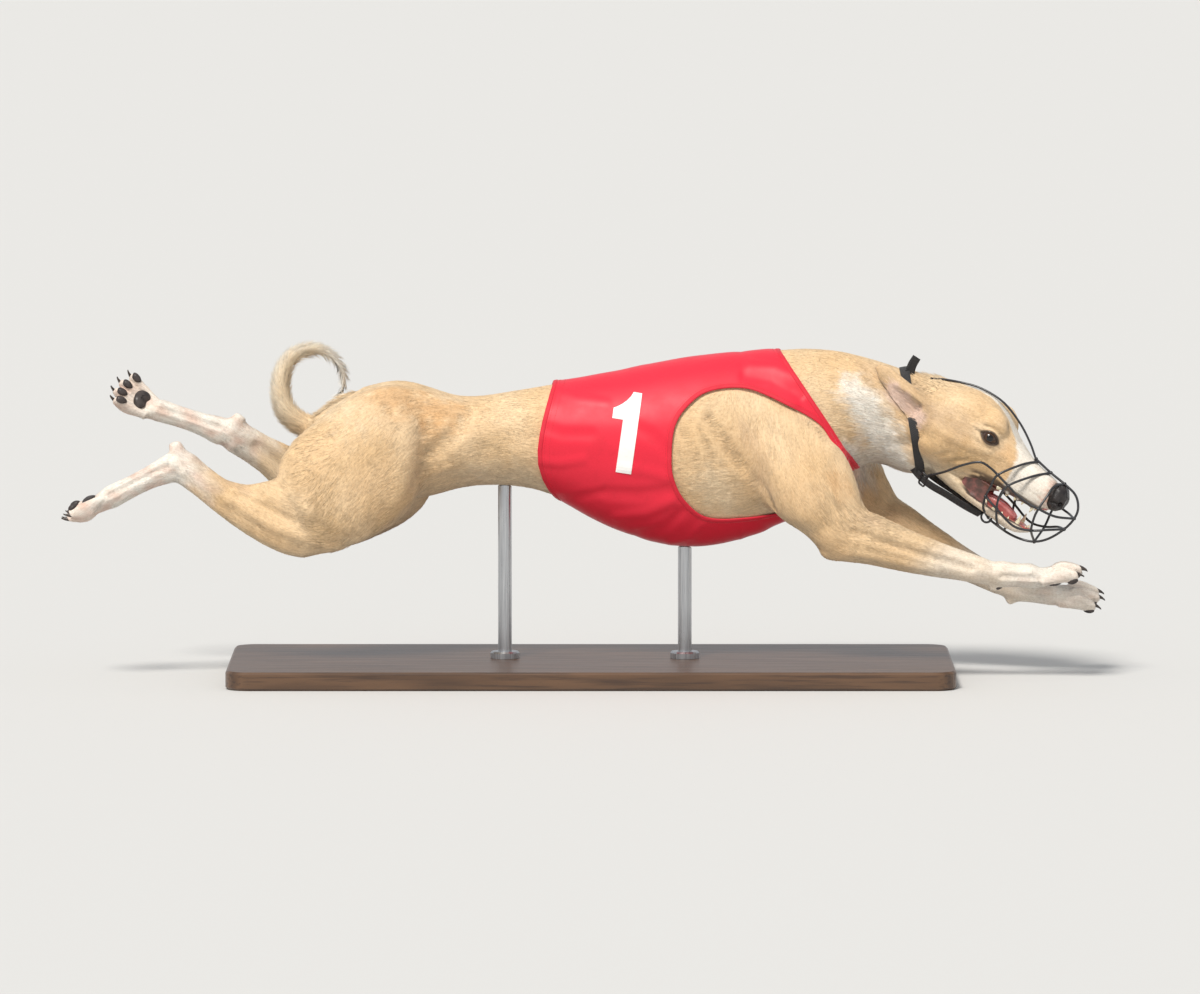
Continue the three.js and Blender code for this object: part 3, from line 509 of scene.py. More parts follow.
for name in LEG_LINES:
    press_leg(skin, name)
relaxed(skin, 0.5, 3)

# Paws
# Four arched toes side by side, drawn in between, on a narrow palm. Each paw is modelled on its own,
# closed over with fine faces, laid on the leg's skin where the two meet, and joined to it.

PAW_FACE = 0.0012
PAW_CUT = -0.022
TOE_SPACING, TOE_SPREAD = 0.0104, 0.13
TOE_PLACES = (-1.5, -0.5, 0.5, 1.5)
# Rows: place ahead of the knuckles, reach above, reach below, half width, in millimetres.
PALM_ROWS = [(-50, 14, 14, 14), (-30, 14, 14, 16), (-10, 14, 13, 18), (4, 12, 10, 17.5), (13, 7, 5, 13)]
# Rows: share of the toe's length, then the same three reaches.
TOE_ROWS = [
    (-0.35, 5, 6, 6), (0.0, 9.5, 7, 7), (0.25, 14, 8, 7.2), (0.45, 15, 9, 7.0), (0.62, 12.5, 11, 6.9),
    (0.78, 8.5, 12, 6.8), (0.92, 4.5, 10.5, 5.8), (1.0, 1.0, 7, 3.6),
]


def add_loft(shape, middles, up, across, rows, count=16):
    """A closed body over oval rings round the middles, as far out as the rows say."""
    rings = []
    for middle, (_, *reaches) in zip(middles, rows):
        above, below, side = (reach / 1000 for reach in reaches)
        ring = []
        for k in range(count):
            angle = 2 * math.pi * k / count
            rise = math.sin(angle)
            place = middle + up * rise * (above if rise > 0 else below) + across * math.cos(angle) * side
            ring.append(shape.verts.new(place))
        rings.append(ring)
    for first, second in zip(rings, rings[1:]):
        for k in range(count):
            n = (k + 1) % count
            shape.faces.new((first[k], first[n], second[n], second[k]))
    shape.faces.new(rings[0][::-1])
    shape.faces.new(rings[-1])


def joined(pieces, name):
    """Joins pieces into the first of them."""
    select_only(pieces[0])
    for piece in pieces:
        piece.select_set(True)
    bpy.ops.object.join()
    pieces[0].name = name
    return pieces[0]


def toe_frame(paw, place):
    """A toe's root, direction and length."""
    outer = abs(place) > 1
    root = paw["knuckle"] + paw["across"] * place * TOE_SPACING
    root = root + paw["up"] * (-0.004 if outer else 0)
    direction = (paw["ahead"] + paw["across"] * place * TOE_SPREAD).normalized()
    return root, direction, paw["toe"] * (0.86 if outer else 1)


def paw_skin(name, paw, leg_tree):
    shape = bmesh.new()
    middles = [paw["knuckle"] + paw["ahead"] * row[0] / 1000 for row in PALM_ROWS]
    add_loft(shape, middles, paw["up"], paw["across"], PALM_ROWS, 20)
    for place in TOE_PLACES:
        root, direction, length = toe_frame(paw, place)
        middles = [root + direction * row[0] * length for row in TOE_ROWS]
        add_loft(shape, middles, paw["up"], paw["across"], TOE_ROWS)
    ob = piece_from(shape, name)
    close_over(ob, PAW_FACE)
    keep_main_island(ob)
    points = relax(ob, read(ob), 0.8, 7, keep_size=False)
    ahead = (points - np.array(paw["knuckle"])) @ np.array(paw["ahead"])
    laid_share = 1 - smoothly(ahead, PAW_CUT + 0.001, -0.004)
    for k in np.flatnonzero((laid_share > 0) & (ahead > PAW_CUT - 0.004)):
        laid, normal, _, _ = leg_tree.find_nearest(Vector(points[k]))
        tucked = np.array(laid) - np.array(normal) * 0.0002 * (laid_share[k] > 0.95)
        points[k] += (tucked - points[k]) * laid_share[k]
    write(ob, points)
    keep_vertices(ob, ahead > PAW_CUT - 0.003)
    return ob


leg_tree = tree_of(skin)
paw_skins = [paw_skin("paw_" + name, paw, leg_tree) for name, paw in PAWS.items()]
points = read(skin)
past_cut = np.zeros(len(points), bool)
for paw in PAWS.values():
    away = points - np.array(paw["knuckle"])
    same_leg = (np.linalg.norm(away, axis=1) < 0.08) & (points[:, 1] * paw["knuckle"].y > 0)
    past_cut |= (away @ np.array(paw["ahead"]) > PAW_CUT + 0.004) & same_leg
keep_vertices(skin, ~past_cut)
joined([skin, *paw_skins], "skin")
smooth(skin)


# Head skin
# The head is modelled finer, in its own frame. Its edge lies under the neck strap.

# The upper gum's height by its place along the muzzle, and the lower gum's.
GUM_ABOVE = ((0.146, 0.190, 0.200, 0.210, 0.219), (-0.0205, -0.0190, -0.0165, -0.0120, -0.0040))
GUM_BELOW = -0.0415
TOOTH_ROW_START = 0.146


def without_teeth(node, corners):
    """Presses the teeth of the head and jaw back into their gums. They are pieces of their own."""
    for vertex in corners:
        place = HEAD_INVERSE @ vertex.co
        gum = float(np.interp(place.x, *GUM_ABOVE))
        if place.x > TOOTH_ROW_START and node == "head" and place.z < gum:
            place.z = gum
        if place.x > TOOTH_ROW_START and node == "lower_jaw" and place.z > GUM_BELOW:
            place.z = GUM_BELOW
        vertex.co = HEAD @ place


HEAD_INVERSE = HEAD.inverted()
HEAD_NODES = ["head", "lower_jaw", "ear_right", "ear_left", "eye_right", "eye_left", "neck"]
head_skin = merged(HEAD_NODES, "head_skin", without_teeth)
close_over(head_skin, HEAD_FACE)
keep_main_island(head_skin)
points = read(head_skin)
near_ear = np.zeros(len(points), bool)
close = np.flatnonzero(past_strap(points) < 0.004)
neck_gap = nearest_gap(tree_of(nodes["neck"]), points[close])
for name in ("ear_right", "ear_left"):
    near_ear[close] |= nearest_gap(tree_of(nodes[name]), points[close]) < np.minimum(neck_gap, 0.0012)
keep_vertices(head_skin, (past_strap(points) > -0.004) | near_ear)
keep_main_island(head_skin)

# Lids: over each eyeball the skin is drawn to an almond opening with a thick, rounded edge.
EYE_PLACE = np.array((0.103, 0.0305, 0.035))
EYE_RADIUS = 0.011
GAZE = np.array((0.32, 0.92, 0.20))
LID_CORNER = np.array((-1, 0.30, 0.10))
OPENING_LENGTH, OPENING_HEIGHT = 0.0113, 0.0068
LID_THICKNESS = 0.0013
EYE_AREA = 0.021


def eye_frame(side):
    """The eye's middle, its gaze, and the directions of its outer corner and of its upper lid."""
    middle, gaze, corner = (mirrored(v, side) for v in (EYE_PLACE, GAZE, LID_CORNER))
    gaze = unit(gaze)
    corner = unit(corner - gaze * (corner @ gaze))
    upper = np.cross(gaze, corner) * side
    return middle, gaze, corner, upper if upper[2] > 0 else -upper


def almond(toward_corner, upward):
    """1 on the edge of the eye's opening, and less inside it."""
    return np.abs(toward_corner / OPENING_LENGTH) ** 1.8 + np.abs(upward / OPENING_HEIGHT) ** 1.5


def from_eye_middles(local):
    return np.min([np.linalg.norm(local - eye_frame(side)[0], axis=1) for side in BOTH], axis=0)


def split_faces(ob, chosen, cuts):
    """Divides the faces whose corners are all chosen."""
    shape = shape_of(ob)
    edges = [e for e in shape.edges if chosen[e.verts[0].index] and chosen[e.verts[1].index]]
    bmesh.ops.subdivide_edges(shape, edges=edges, cuts=cuts, use_grid_fill=True)
    put_back(shape, ob)
    smooth(ob)


local = in_head(read(head_skin))
softness = 0.75 * np.ones(len(local))
lips = (local[:, 0] > 0.08) * (1 - smoothly(np.abs(local[:, 2] + 0.027), 0.006, 0.016))
softness *= 1 - 0.75 * lips
softness *= 0.3 + 0.7 * smoothly(local[:, 0], -0.03, 0.0)
relaxed(head_skin, softness, 30, keep_size=False)

HEAD_FORMS = [
    ([(56, 50, 0), (48, 50, -16)], 28, 3.5),  # cheek muscle
    ([(112, 36, 19), (90, 44, 14), (62, 52, 12), (36, 53, 14)], 10, 2.2),  # cheekbone
    ([(72, 46, 40), (52, 50, 40), (32, 48, 44)], 22, -2.6),  # temple
    ([(114, 25, 50), (102, 32, 54), (88, 38, 50)], 10, 1.6),  # brow
    ([(134, 26, 12), (152, 24, 6)], 15, -2.4),  # before the eye
    ([(150, 25, -6), (180, 22, -6), (200, 18, -6)], 12, 1.2),  # upper lip
    ([(122, 30, -16), (140, 27, -17), (170, 24, -18), (200, 18, -18)], 5, 1.6),  # its edge
    ([(116, 31, -20), (105, 34, -24), (100, 35, -32), (106, 34, -40)], 7, 2.6),  # fold round the corner
    ([(118, 28, -44), (140, 24, -44), (170, 19, -44), (196, 14, -43)], 5, 1.8),  # lower lip
    ([(86, 44, -10), (76, 47, -24), (74, 44, -38)], 6, -1.5),  # creases of the cheek
    ([(70, 48, -8), (60, 50, -22), (54, 44, -38)], 6, -1.1),
    ([(94, 41, -4), (84, 44, -16)], 5, -1.2),
    ([(30, 50, -8), (22, 48, -22)], 8, -1.4),
]
MOUTH_FORMS = [
    ([(126, 0, -26), (160, 0, -24), (196, 0, -22)], 17, -5.0),  # roof of the mouth
    ([(120, 16, -26), (160, 12, -24)], 8, -2.0),
]


def press_head(ob, forms, sides=BOTH):
    """Presses forms given in the head's own frame."""
    for line, radius, height in forms:
        for side in sides:
            local = in_head(read(ob))
            normals = read(ob, "normal") @ HEAD_TURNED[:3, :3]
            press(local, normals, mirrored(line, side) / 1000, radius / 1000, height / 1000)
            write(ob, from_head(local))


press_head(head_skin, HEAD_FORMS)
press_head(head_skin, MOUTH_FORMS)
press_head(head_skin, [([(134, 0, 50), (112, 0, 66), (92, 0, 76)], 13, -2.0)], (RIGHT,))  # forehead furrow

local = in_head(read(head_skin))
split_faces(head_skin, from_eye_middles(local) < EYE_AREA, 2)

local = in_head(read(head_skin))
for side in BOTH:
    middle, gaze, corner, upper = eye_frame(side)
    ray = local - middle
    distance = np.linalg.norm(ray, axis=1)
    ahead = ray / distance[:, None]
    share = (EYE_RADIUS + LID_THICKNESS) / distance
    shape = almond(ray @ corner * share, ray @ upper * share)
    facing = (ahead @ gaze > 0.15) & (distance < EYE_AREA)
    spread = almond(ray @ corner, ray @ upper)
    lid = EYE_RADIUS + LID_THICKNESS + 0.0009 * np.exp(-(((shape - 1.35) / 0.4) ** 2))
    hold = 1 - smoothly(spread, 1.5, 2.6)
    closed = distance + (lid - distance) * hold
    sunk = EYE_RADIUS - 0.0022
    wanted = sunk + (closed - sunk) * smoothly(shape, 0.90, 1.06)
    distance = np.where(facing, wanted, distance)
    local = middle + ahead * distance[:, None]
write(head_skin, from_head(local))
from_eyes = from_eye_middles(local)
evened = smoothly(from_eyes, 0.0140, 0.0165) * (1 - smoothly(from_eyes, 0.024, 0.030))
relaxed(head_skin, evened, 12, keep_size=False)
press_head(head_skin, [
    ([(92, 38.5, 46), (103, 37, 49.5), (113, 32, 47)], 3.2, -0.9),  # crease above the upper lid
    ([(94, 40, 25), (104, 39, 22.5), (113, 34, 24)], 3.5, -0.7),  # crease below the lower lid
])


# Eyeballs
# A moist ball with a bulging clear front, a brown iris and a round black pupil. It looks forwards
# and outwards between the lids.

PUPIL_ANGLE, IRIS_ANGLE = math.radians(21), math.radians(44)

eyeballs = []
for name, side in SIDES.items():
    middle, gaze, corner, upper = eye_frame(side)
    bpy.ops.mesh.primitive_uv_sphere_add(segments=64, ring_count=40, radius=EYE_RADIUS)
    eye = bpy.context.object
    eye.name = "eyeball_" + name
    ball = read(eye)
    from_axis = np.arccos(np.clip(ball[:, 2] / EYE_RADIUS, -1, 1))
    bulge = 0.0009 * (1 - smoothly(from_axis, 0.2, IRIS_ANGLE + 0.12))
    ball += unit(ball) * bulge[:, None]
    turned = ball @ np.stack([corner, upper, gaze])
    write(eye, from_head(middle + turned))
    face_outwards(eye)
    angle = eye.data.attributes.new("from_axis", "FLOAT", "POINT")
    angle.data.foreach_set("value", from_axis.astype(np.float32))
    eyeballs.append(eye)


# Coat colours
# A pale fawn coat, warmer over the croup and at the ear, with a white blaze, throat, feet and tail
# tip. Painted grey shade lies in the crease behind the triceps and in the hollow before each heel
# tendon. The skin and every tuft of hair on it take their colour from the same markings.


def tone(red, green, blue):
    """A colour given as it looks on a screen, for a shader."""
    share = np.array((red, green, blue)) / 255
    return np.where(share <= 0.04045, share / 12.92, ((share + 0.055) / 1.055) ** 2.4)


FAWN, WARM, CREAM = tone(231, 198, 155), tone(216, 168, 114), tone(235, 216, 186)
WHITE, GREY, TAN = tone(242, 236, 226), tone(182, 156, 130), tone(212, 176, 126)
PINK, EAR_PINK, GUM = tone(216, 168, 146), tone(226, 198, 184), tone(196, 92, 88)
LIP, RIM = tone(60, 42, 38), tone(54, 38, 32)


def mottle(points, size, seed):
    """Smooth, seeded unevenness between about -1 and 1, with patches of this size."""
    chance = np.random.default_rng(seed)
    total = np.zeros(len(points))
    for _ in range(7):
        direction = chance.normal(size=3)
        direction /= np.linalg.norm(direction)
        wave = size * chance.uniform(0.6, 1.7)
        total += np.sin(points @ direction * (2 * math.pi / wave) + chance.uniform(0, 6.28))
    return total / 3.2


def near_line(points, line, radius, edge):
    """1 close to a line, 0 beyond the radius, with a soft and slightly uneven edge."""
    gap = gap_to(points, np.array(line, float) / 1000)
    uneven = mottle(points, 0.018, 5) * edge * 0.5
    return 1 - smoothly(gap + uneven, radius - edge, radius + edge)


def mixed(colours, colour, share):
    return colours + (colour - colours) * np.clip(share, 0, 1)[:, None]


# Patches on both sides of the body: line, radius and edge in millimetres, colour and strength.
BODY_PATCHES = [
    ([(-262, 60, 372), (-225, 62, 374), (-186, 52, 352)], 26, 22, WARM, 0.60),
    ([(-200, 66, 345), (-206, 74, 312)], 15, 14, WARM, 0.45),
    ([(-330, 30, 345), (-300, 62, 332)], 26, 20, CREAM, 0.55),
    ([(-330, 84, 260), (-345, 84, 215)], 22, 18, TAN, 0.40),
    ([(-236, 84, 240), (-260, 90, 205)], 14, 12, TAN, 0.35),
    ([(311, 92, 272), (326, 88, 246)], 9, 9, WARM, 0.45),
    ([(352, 92, 222), (362, 88, 212)], 8, 8, GREY, 0.50),
    # Painted grey shade in the crease behind the triceps.
    ([(200, 80, 330), (216, 86, 290), (226, 88, 250)], 13, 12, GREY, 0.35),
    ([(160, 84, 260), (185, 86, 225)], 22, 18, CREAM, 0.45),
    ([(342, 60, 384), (354, 58, 362), (372, 56, 334), (388, 50, 303), (400, 36, 272)], 22, 11, WHITE, 0.90),
    ([(338, 50, 292), (352, 48, 282)], 20, 9, WHITE, 0.80),
    ([(345, 57, 330), (350, 57, 318)], 6, 5, FAWN, 0.60),
]
MIDDLE_PATCHES = [
    ([(340, 0, 262), (390, 0, 262), (440, -8, 255)], 44, 12, WHITE, 0.75),
    ([(-100, 0, 235), (-20, 0, 215)], 60, 30, CREAM, 0.60),
]
# Patches on both sides of the head, in its own frame.
HEAD_PATCHES = [
    ([(66, 48, 26), (42, 52, 24), (18, 50, 12)], 17, 12, GREY, 0.42),
    ([(60, 52, -6), (34, 52, -18)], 26, 20, TAN, 0.40),
    ([(92, 40, -6), (80, 45, -22), (72, 46, -36)], 10, 8, TAN, 0.35),
    ([(104, 38, 8), (88, 46, 6)], 12, 10, TAN, 0.30),
    ([(12, 49, -8), (-6, 50, -14)], 12, 7, WARM, 0.75),
    ([(128, 20, 30), (140, 16, 26)], 9, 8, WARM, 0.35),
    ([(60, 25, -50), (100, 20, -54)], 26, 12, CREAM, 0.75),
]
EAR_LINES = {
    RIGHT: [(14, -38, 13), (-30, -49, 27), (-69, -52, 35)],
    LEFT: [(14, 38, 12), (-28, 51, 20), (-64, 58, 21)],
}
# The blaze: place along the muzzle, and half its width.
BLAZE = np.array([(22, 0), (40, 3), (80, 6), (112, 9), (134, 14), (150, 24), (164, 60), (240, 70)]) / 1000


def lid_shape(local, side):
    """How far a place is from the middle of the eye's opening: 1 is its edge."""
    middle, gaze, corner, upper = eye_frame(side)
    ray = local - middle
    facing = (ray @ gaze > -0.006) & (np.linalg.norm(ray, axis=1) < 0.040)
    shape = np.where(facing, almond(ray @ corner, ray @ upper), 99.0)
    return shape, ray @ corner / OPENING_LENGTH, ray @ upper / OPENING_HEIGHT


def nearest_lid(local):
    return np.minimum(lid_shape(local, RIGHT)[0], lid_shape(local, LEFT)[0])


def mouth_shares(local, normals_local):
    """The wet inside of the mouth, and the dark lips round it."""
    ahead = smoothly(local[:, 0], 0.100, 0.112)
    roof = smoothly(-normals_local[:, 2], 0.25, 0.55) * (local[:, 2] > -0.036) * (local[:, 2] < -0.006)
    bed = smoothly(normals_local[:, 2], 0.25, 0.55) * (local[:, 2] > -0.056) * (local[:, 2] < -0.030)
    half = np.interp(local[:, 0], (0.10, 0.15, 0.20), (0.031, 0.023, 0.015))
    inner = 1 - smoothly(np.abs(local[:, 1]) / half, 0.62, 0.80)
    inside = np.clip(roof + bed, 0, 1) * ahead * (local[:, 0] < 0.215)
    return inside * inner, inside * (1 - inner)


class Markings:
    """The colours of the coat at some places, painted over one another."""

    def __init__(self, points):
        self.colours = np.tile(FAWN, (len(points), 1))

    def paint(self, colour, share):
        self.colours = mixed(self.colours, colour, share)

    def patches(self, points, rows, share=1.0, sides=BOTH):
        for side in sides:
            for line, radius, edge, colour, strength in rows:
                near = near_line(points, mirrored(line, side), radius / 1000, edge / 1000)
                self.paint(colour, strength * near * share)


def paint_legs(coat, points):
    """White feet, with pink skin showing through, and painted grey shade before the heel tendons."""
    for name, line in LEG_LINES.items():
        along, near, _ = on_line(points, line)
        joints = np.cumsum(np.linalg.norm(np.diff(line, axis=0), axis=1))
        close = 1 - smoothly(np.linalg.norm(points - near, axis=1), 0.05, 0.07)
        close = close * (points[:, 1] * side_of(name) > -0.002)
        uneven = mottle(points, 0.03, 7) * 0.012
        if name.startswith("hind"):
            white = smoothly(along + uneven, joints[1] - 0.075, joints[1] - 0.010)
            heel = [leg_place(name, 1, s, -14, 12)[0] * 1000 for s in (0.55, 0.9)]
            bare_skin_and_heel_shade = near_line(points, heel, 0.011, 0.008)
        else:
            white = 0.9 * smoothly(along + uneven, joints[1] - 0.030, joints[1] + 0.055)
            bare_skin_and_heel_shade = np.zeros(len(points))
        coat.paint(WHITE, white * close)
        pinkness = 0.16 + 0.30 * mottle(points, 0.022, 8)
        coat.paint(PINK, np.clip(pinkness, 0, 1) * white * close)
        # Painted grey shade in the hollow before the heel tendon, on the hind legs only.
        coat.paint(GREY, 0.45 * bare_skin_and_heel_shade * close)
        coat.paint(PINK, 0.32 * smoothly(along, joints[2] - 0.012, joints[2] + 0.01) * close)


def paint_tail(coat, points):
    """Cream, whiter outside and white towards the tip."""
    along, near, _ = on_line(points, TAIL_LINE)
    share = along / np.linalg.norm(np.diff(TAIL_LINE, axis=0), axis=1).sum()
    thickness = 0.023 - 0.0165 * share
    close = 1 - smoothly(np.linalg.norm(points - near, axis=1) / thickness, 1.0, 1.25)
    outside = smoothly(np.sum((points - near) * unit(near - TAIL_MIDDLE), axis=1), -0.004, 0.008)
    coat.paint(CREAM, 0.85 * close * smoothly(share, 0.12, 0.3))
    coat.paint(WHITE, 0.6 * close * outside * smoothly(share, 0.2, 0.4))
    coat.paint(WHITE, close * smoothly(share, 0.60, 0.76))


def paint_ear_and_eye(coat, local, outer, side):
    """The grey ear with its pink cup, and the dark rim and corners of the eye."""
    line = np.array(EAR_LINES[side], float)
    cup = near_line(local, line[:2] + (0, side * 9, -8), 0.013, 0.004) * smoothly(outer, -0.2, 0.3)
    coat.paint(GREY, 0.22 * near_line(local, line, 0.026, 0.004))
    coat.paint(EAR_PINK, 0.85 * cup)
    shape, u, v = lid_shape(local, side)
    smudge = (1 - smoothly(np.abs(v), 0.12, 0.45)) * smoothly(u, 0.8, 1.1) * (1 - smoothly(u, 1.5, 2.6))
    inner = (1 - smoothly(np.abs(v + 0.25), 0.2, 0.55)) * smoothly(-u, 0.8, 1.1)
    inner *= 1 - smoothly(-u, 1.2, 1.9)
    brow = (1 - smoothly(np.abs(v - 2.3), 0.3, 0.9)) * (1 - smoothly(np.abs(u), 0.8, 1.5))
    coat.paint(CREAM, 0.30 * (1 - smoothly(shape, 2.5, 7.0)))
    coat.paint(TAN, 0.45 * brow * (shape < 50))
    coat.paint(RIM, 0.55 * np.maximum(smudge, inner) * (shape < 50))
    coat.paint(RIM, 0.95 * (1 - smoothly(shape, 1.25, 1.9)))


def coat_colours(points, normals):
    coat = Markings(points)
    coat.paint(CREAM, 0.10 + 0.22 * mottle(points, 0.10, 1))
    coat.paint(TAN, 0.10 + 0.18 * mottle(points, 0.06, 2))
    coat.paint(CREAM, 0.5 * smoothly(-normals[:, 2], 0.3, 0.9))
    inward = smoothly(-normals[:, 1] * np.sign(points[:, 1]), 0.3, 0.9) * (points[:, 0] < -0.1)
    coat.paint(CREAM, 0.6 * inward)
    coat.patches(points, BODY_PATCHES)
    coat.patches(points, MIDDLE_PATCHES, sides=(LEFT,))
    paint_legs(coat, points)
    paint_tail(coat, points)

    local = in_head(points)
    on_head = smoothly(past_strap(points), -0.012, 0.010)
    normals_local = normals @ HEAD_TURNED[:3, :3]
    coat.patches(local, HEAD_PATCHES, on_head)
    width = np.interp(local[:, 0], BLAZE[:, 0], BLAZE[:, 1])
    blaze = smoothly(width - np.abs(local[:, 1]) + 0.0015 * mottle(local, 0.012, 4), -0.002, 0.003)
    coat.paint(WHITE, 0.94 * blaze * on_head * (local[:, 2] > -0.030))
    coat.paint(WHITE, 0.6 * smoothly(local[:, 0], 0.10, 0.15) * (local[:, 2] < -0.030))
    for side in BOTH:
        paint_ear_and_eye(coat, local, normals_local[:, 1] * side, side)
    nose_edge = smoothly(local[:, 0], 0.192, 0.206) * smoothly(local[:, 2], -0.012, 0.0)
    coat.paint(PINK, nose_edge * (0.45 + 0.4 * mottle(local, 0.006, 9)))
    wet, lips = mouth_shares(local, normals_local)
    coat.paint(LIP, 0.92 * lips)
    coat.paint(GUM, wet)
    return np.clip(coat.colours, 0, 1)


def set_colours(ob, name, colours):
    """Gives every vertex a colour, given as red, green and blue."""
    layer = ob.data.color_attributes.new(name, "FLOAT_COLOR", "POINT")
    full = np.ones((len(colours), 4), np.float32)
    full[:, :3] = colours
    layer.data.foreach_set("color", full.ravel())


def set_vectors(ob, name, values):
    layer = ob.data.attributes.new(name, "FLOAT_VECTOR", "POINT")
    layer.data.foreach_set("vector", values.astype(np.float32).ravel())


# The lie of the coat: backwards along the neck and trunk, down each leg to the paw, out to the
# tips of the ears and tail, and back from the nose. Each line has the reach at which it rules.
HEAD_LINE = from_head(np.array([(230, 0, 0), (120, 0, 10), (0, 0, 10), (-60, 0, 0)]) / 1000)
EAR_REACH = 0.026
LIE_LINES = [(TRUNK_LINE[::-1], 0.085)]
LIE_LINES += [(line[:3], 0.040) for line in LEG_LINES.values()]
LIE_LINES += [(line[1:], 0.024) for line in LEG_LINES.values()]
LIE_LINES += [(TAIL_LINE, 0.016), (HEAD_LINE, 0.055)]
EARS_FROM = len(LIE_LINES)
LIE_LINES += [(from_head(np.array(line) / 1000), 0.013) for line in EAR_LINES.values()]


def lie_of_coat(points, normals):
    """The direction in which the hair lies, and the place on an unwrap of the coat."""
    total = np.zeros((len(points), 3))
    best = np.full(len(points), -np.inf)
    unwrap = np.zeros((len(points), 2))
    for k, (line, rule) in enumerate(LIE_LINES):
        along, near, heading = on_line(points, line)
        out = points - near
        gap = np.linalg.norm(out, axis=1)
        weight = np.exp(-np.maximum(gap / rule - 1, 0) * 4) / rule
        if k >= EARS_FROM:
            weight = weight * (1 - smoothly(gap, EAR_REACH * 0.8, EAR_REACH))
        total += heading * weight[:, None]
        up = np.cross(heading, (0, 1, 0))
        angle = np.arctan2(out[:, 1], np.sum(out * up, axis=1))
        length = np.linalg.norm(np.diff(line, axis=0), axis=1).sum()
        tile = np.array((k % 4, k // 4))
        here = np.stack([np.clip(along / length, 0, 1), angle / (2 * math.pi) + 0.5], axis=1)
        unwrap = np.where((weight > best)[:, None], (tile + 0.03 + 0.94 * here) / 4, unwrap)
        best = np.maximum(best, weight)
    lie = total - normals * np.sum(total * normals, axis=1, keepdims=True)
    return unit(lie), unwrap


# The skin lies inside the coat by the coat's depth.
DEPTH_BODY, DEPTH_LEG, DEPTH_HEAD, DEPTH_TAIL = 0.0014, 0.0009, 0.0006, 0.0036

points = read(skin)
tail_near = gap_to(points, TAIL_LINE[2:])
off_tail = smoothly(tail_near, 0.020, 0.026)
depth = DEPTH_LEG + (DEPTH_BODY - DEPTH_LEG) * smoothly(nearest_leg(points), 0.03, 0.06)
depth = np.where(tail_near < 0.026, DEPTH_TAIL * (1 - off_tail) + depth * off_tail, depth)
write(skin, points - read(skin, "normal") * depth[:, None])
points = read(head_skin)
away_from_lids = smoothly(nearest_lid(in_head(points)), 2.0, 3.5)
write(head_skin, points - read(head_skin, "normal") * (DEPTH_HEAD * away_from_lids)[:, None])

for ob in (skin, head_skin):
    points, normals = read(ob), read(ob, "normal")
    set_colours(ob, "coat", coat_colours(points, normals))
    set_vectors(ob, "lie", lie_of_coat(points, normals)[0])
local = in_head(points)
wet, lips = mouth_shares(local, normals @ HEAD_TURNED[:3, :3])
at_lids = 1 - smoothly(nearest_lid(local), 1.0, 1.6)
moist = np.max([wet, 0.7 * lips, 0.6 * at_lids], axis=0)
moisture = head_skin.data.attributes.new("moist", "FLOAT", "POINT")
moisture.data.foreach_set("value", moist.astype(np.float32))


class Socket:
    """A socket of a material's nodes. Sums of sockets add the Math nodes they need."""

    def __init__(self, tree, output=None):
        self.tree = tree
        self.output = output

    def node(self, kind, settings=None, values=None, output=0):
        """Adds a node: its settings are set first, then the values or links of its sockets."""
        made = self.tree.nodes.new("ShaderNode" + kind)
        for key, value in (settings or {}).items():
            setattr(made, key, value)
        for key, value in (values or {}).items():
            if isinstance(value, Socket):
                self.tree.links.new(value.output, made.inputs[key])
            else:
                made.inputs[key].default_value = value
        return Socket(self.tree, made.outputs[output])

    def maths(self, operation, first, second):
        return self.node("Math", {"operation": operation}, {0: first, 1: second})

    def __add__(self, other):
        return self.maths("ADD", self, other)

    def __sub__(self, other):
        return self.maths("SUBTRACT", self, other)

    def __rsub__(self, other):
        return self.maths("SUBTRACT", other, self)

    def __mul__(self, other):
        return self.maths("MULTIPLY", self, other)

    def between(self, low, high):
        """0 below low, 1 above high."""
        return self.node("MapRange", {"clamp": True}, {0: self, 1: low, 2: high})


def new_material(name):
    material = bpy.data.materials.new(name)
    material.use_nodes = True
    return material, Socket(material.node_tree)


def finish_material(material, **inputs):
    """Links or sets the sockets of the material's shader. A low line stands for a space."""
    shader = material.node_tree.nodes["Principled BSDF"]
    for key, value in inputs.items():
        socket = shader.inputs[key.replace("_", " ")]
        if isinstance(value, Socket):
            material.node_tree.links.new(value.output, socket)
        else:
            socket.default_value = value


def attribute(start, name, output="Color"):
    return start.node("Attribute", {"attribute_name": name}, output=output)


def places(start, scale=(1, 1, 1)):
    """Object coordinates, scaled."""
    return start.node("Mapping", {}, {"Vector": start.node("TexCoord", output="Object"), "Scale": scale})


def noise(vector, scale, detail, roughness=0.55):
    values = {"Vector": vector, "Scale": scale, "Detail": detail, "Roughness": roughness}
    return vector.node("TexNoise", {}, values)


def blended(first, second, share, kind="MIX"):
    """Two colours mixed. Colours given as numbers are (red, green, blue)."""
    first, second = (c if isinstance(c, Socket) else (*c, 1) for c in (first, second))
    return share.node("Mix", {"data_type": "RGBA", "blend_type": kind}, {0: share, 6: first, 7: second}, 2)


def bumped(height, strength, distance):
    return height.node("Bump", {}, {"Height": height, "Strength": strength, "Distance": distance})


def streaks(start, width, step, samples):
    """Noise drawn out along the lie of the coat, from samples taken a step apart."""
    raw = start.node("TexCoord", output="Object")
    lie = attribute(start, "lie", "Vector")
    total = 0.0
    for k in range(samples):
        shift = start.node("VectorMath", {"operation": "SCALE"}, {0: lie, "Scale": (k - samples // 2) * step})
        place = start.node("VectorMath", {}, {0: raw, 1: shift})
        total = noise(place, 1 / width, 1.0) + total
    return total * (1 / samples)


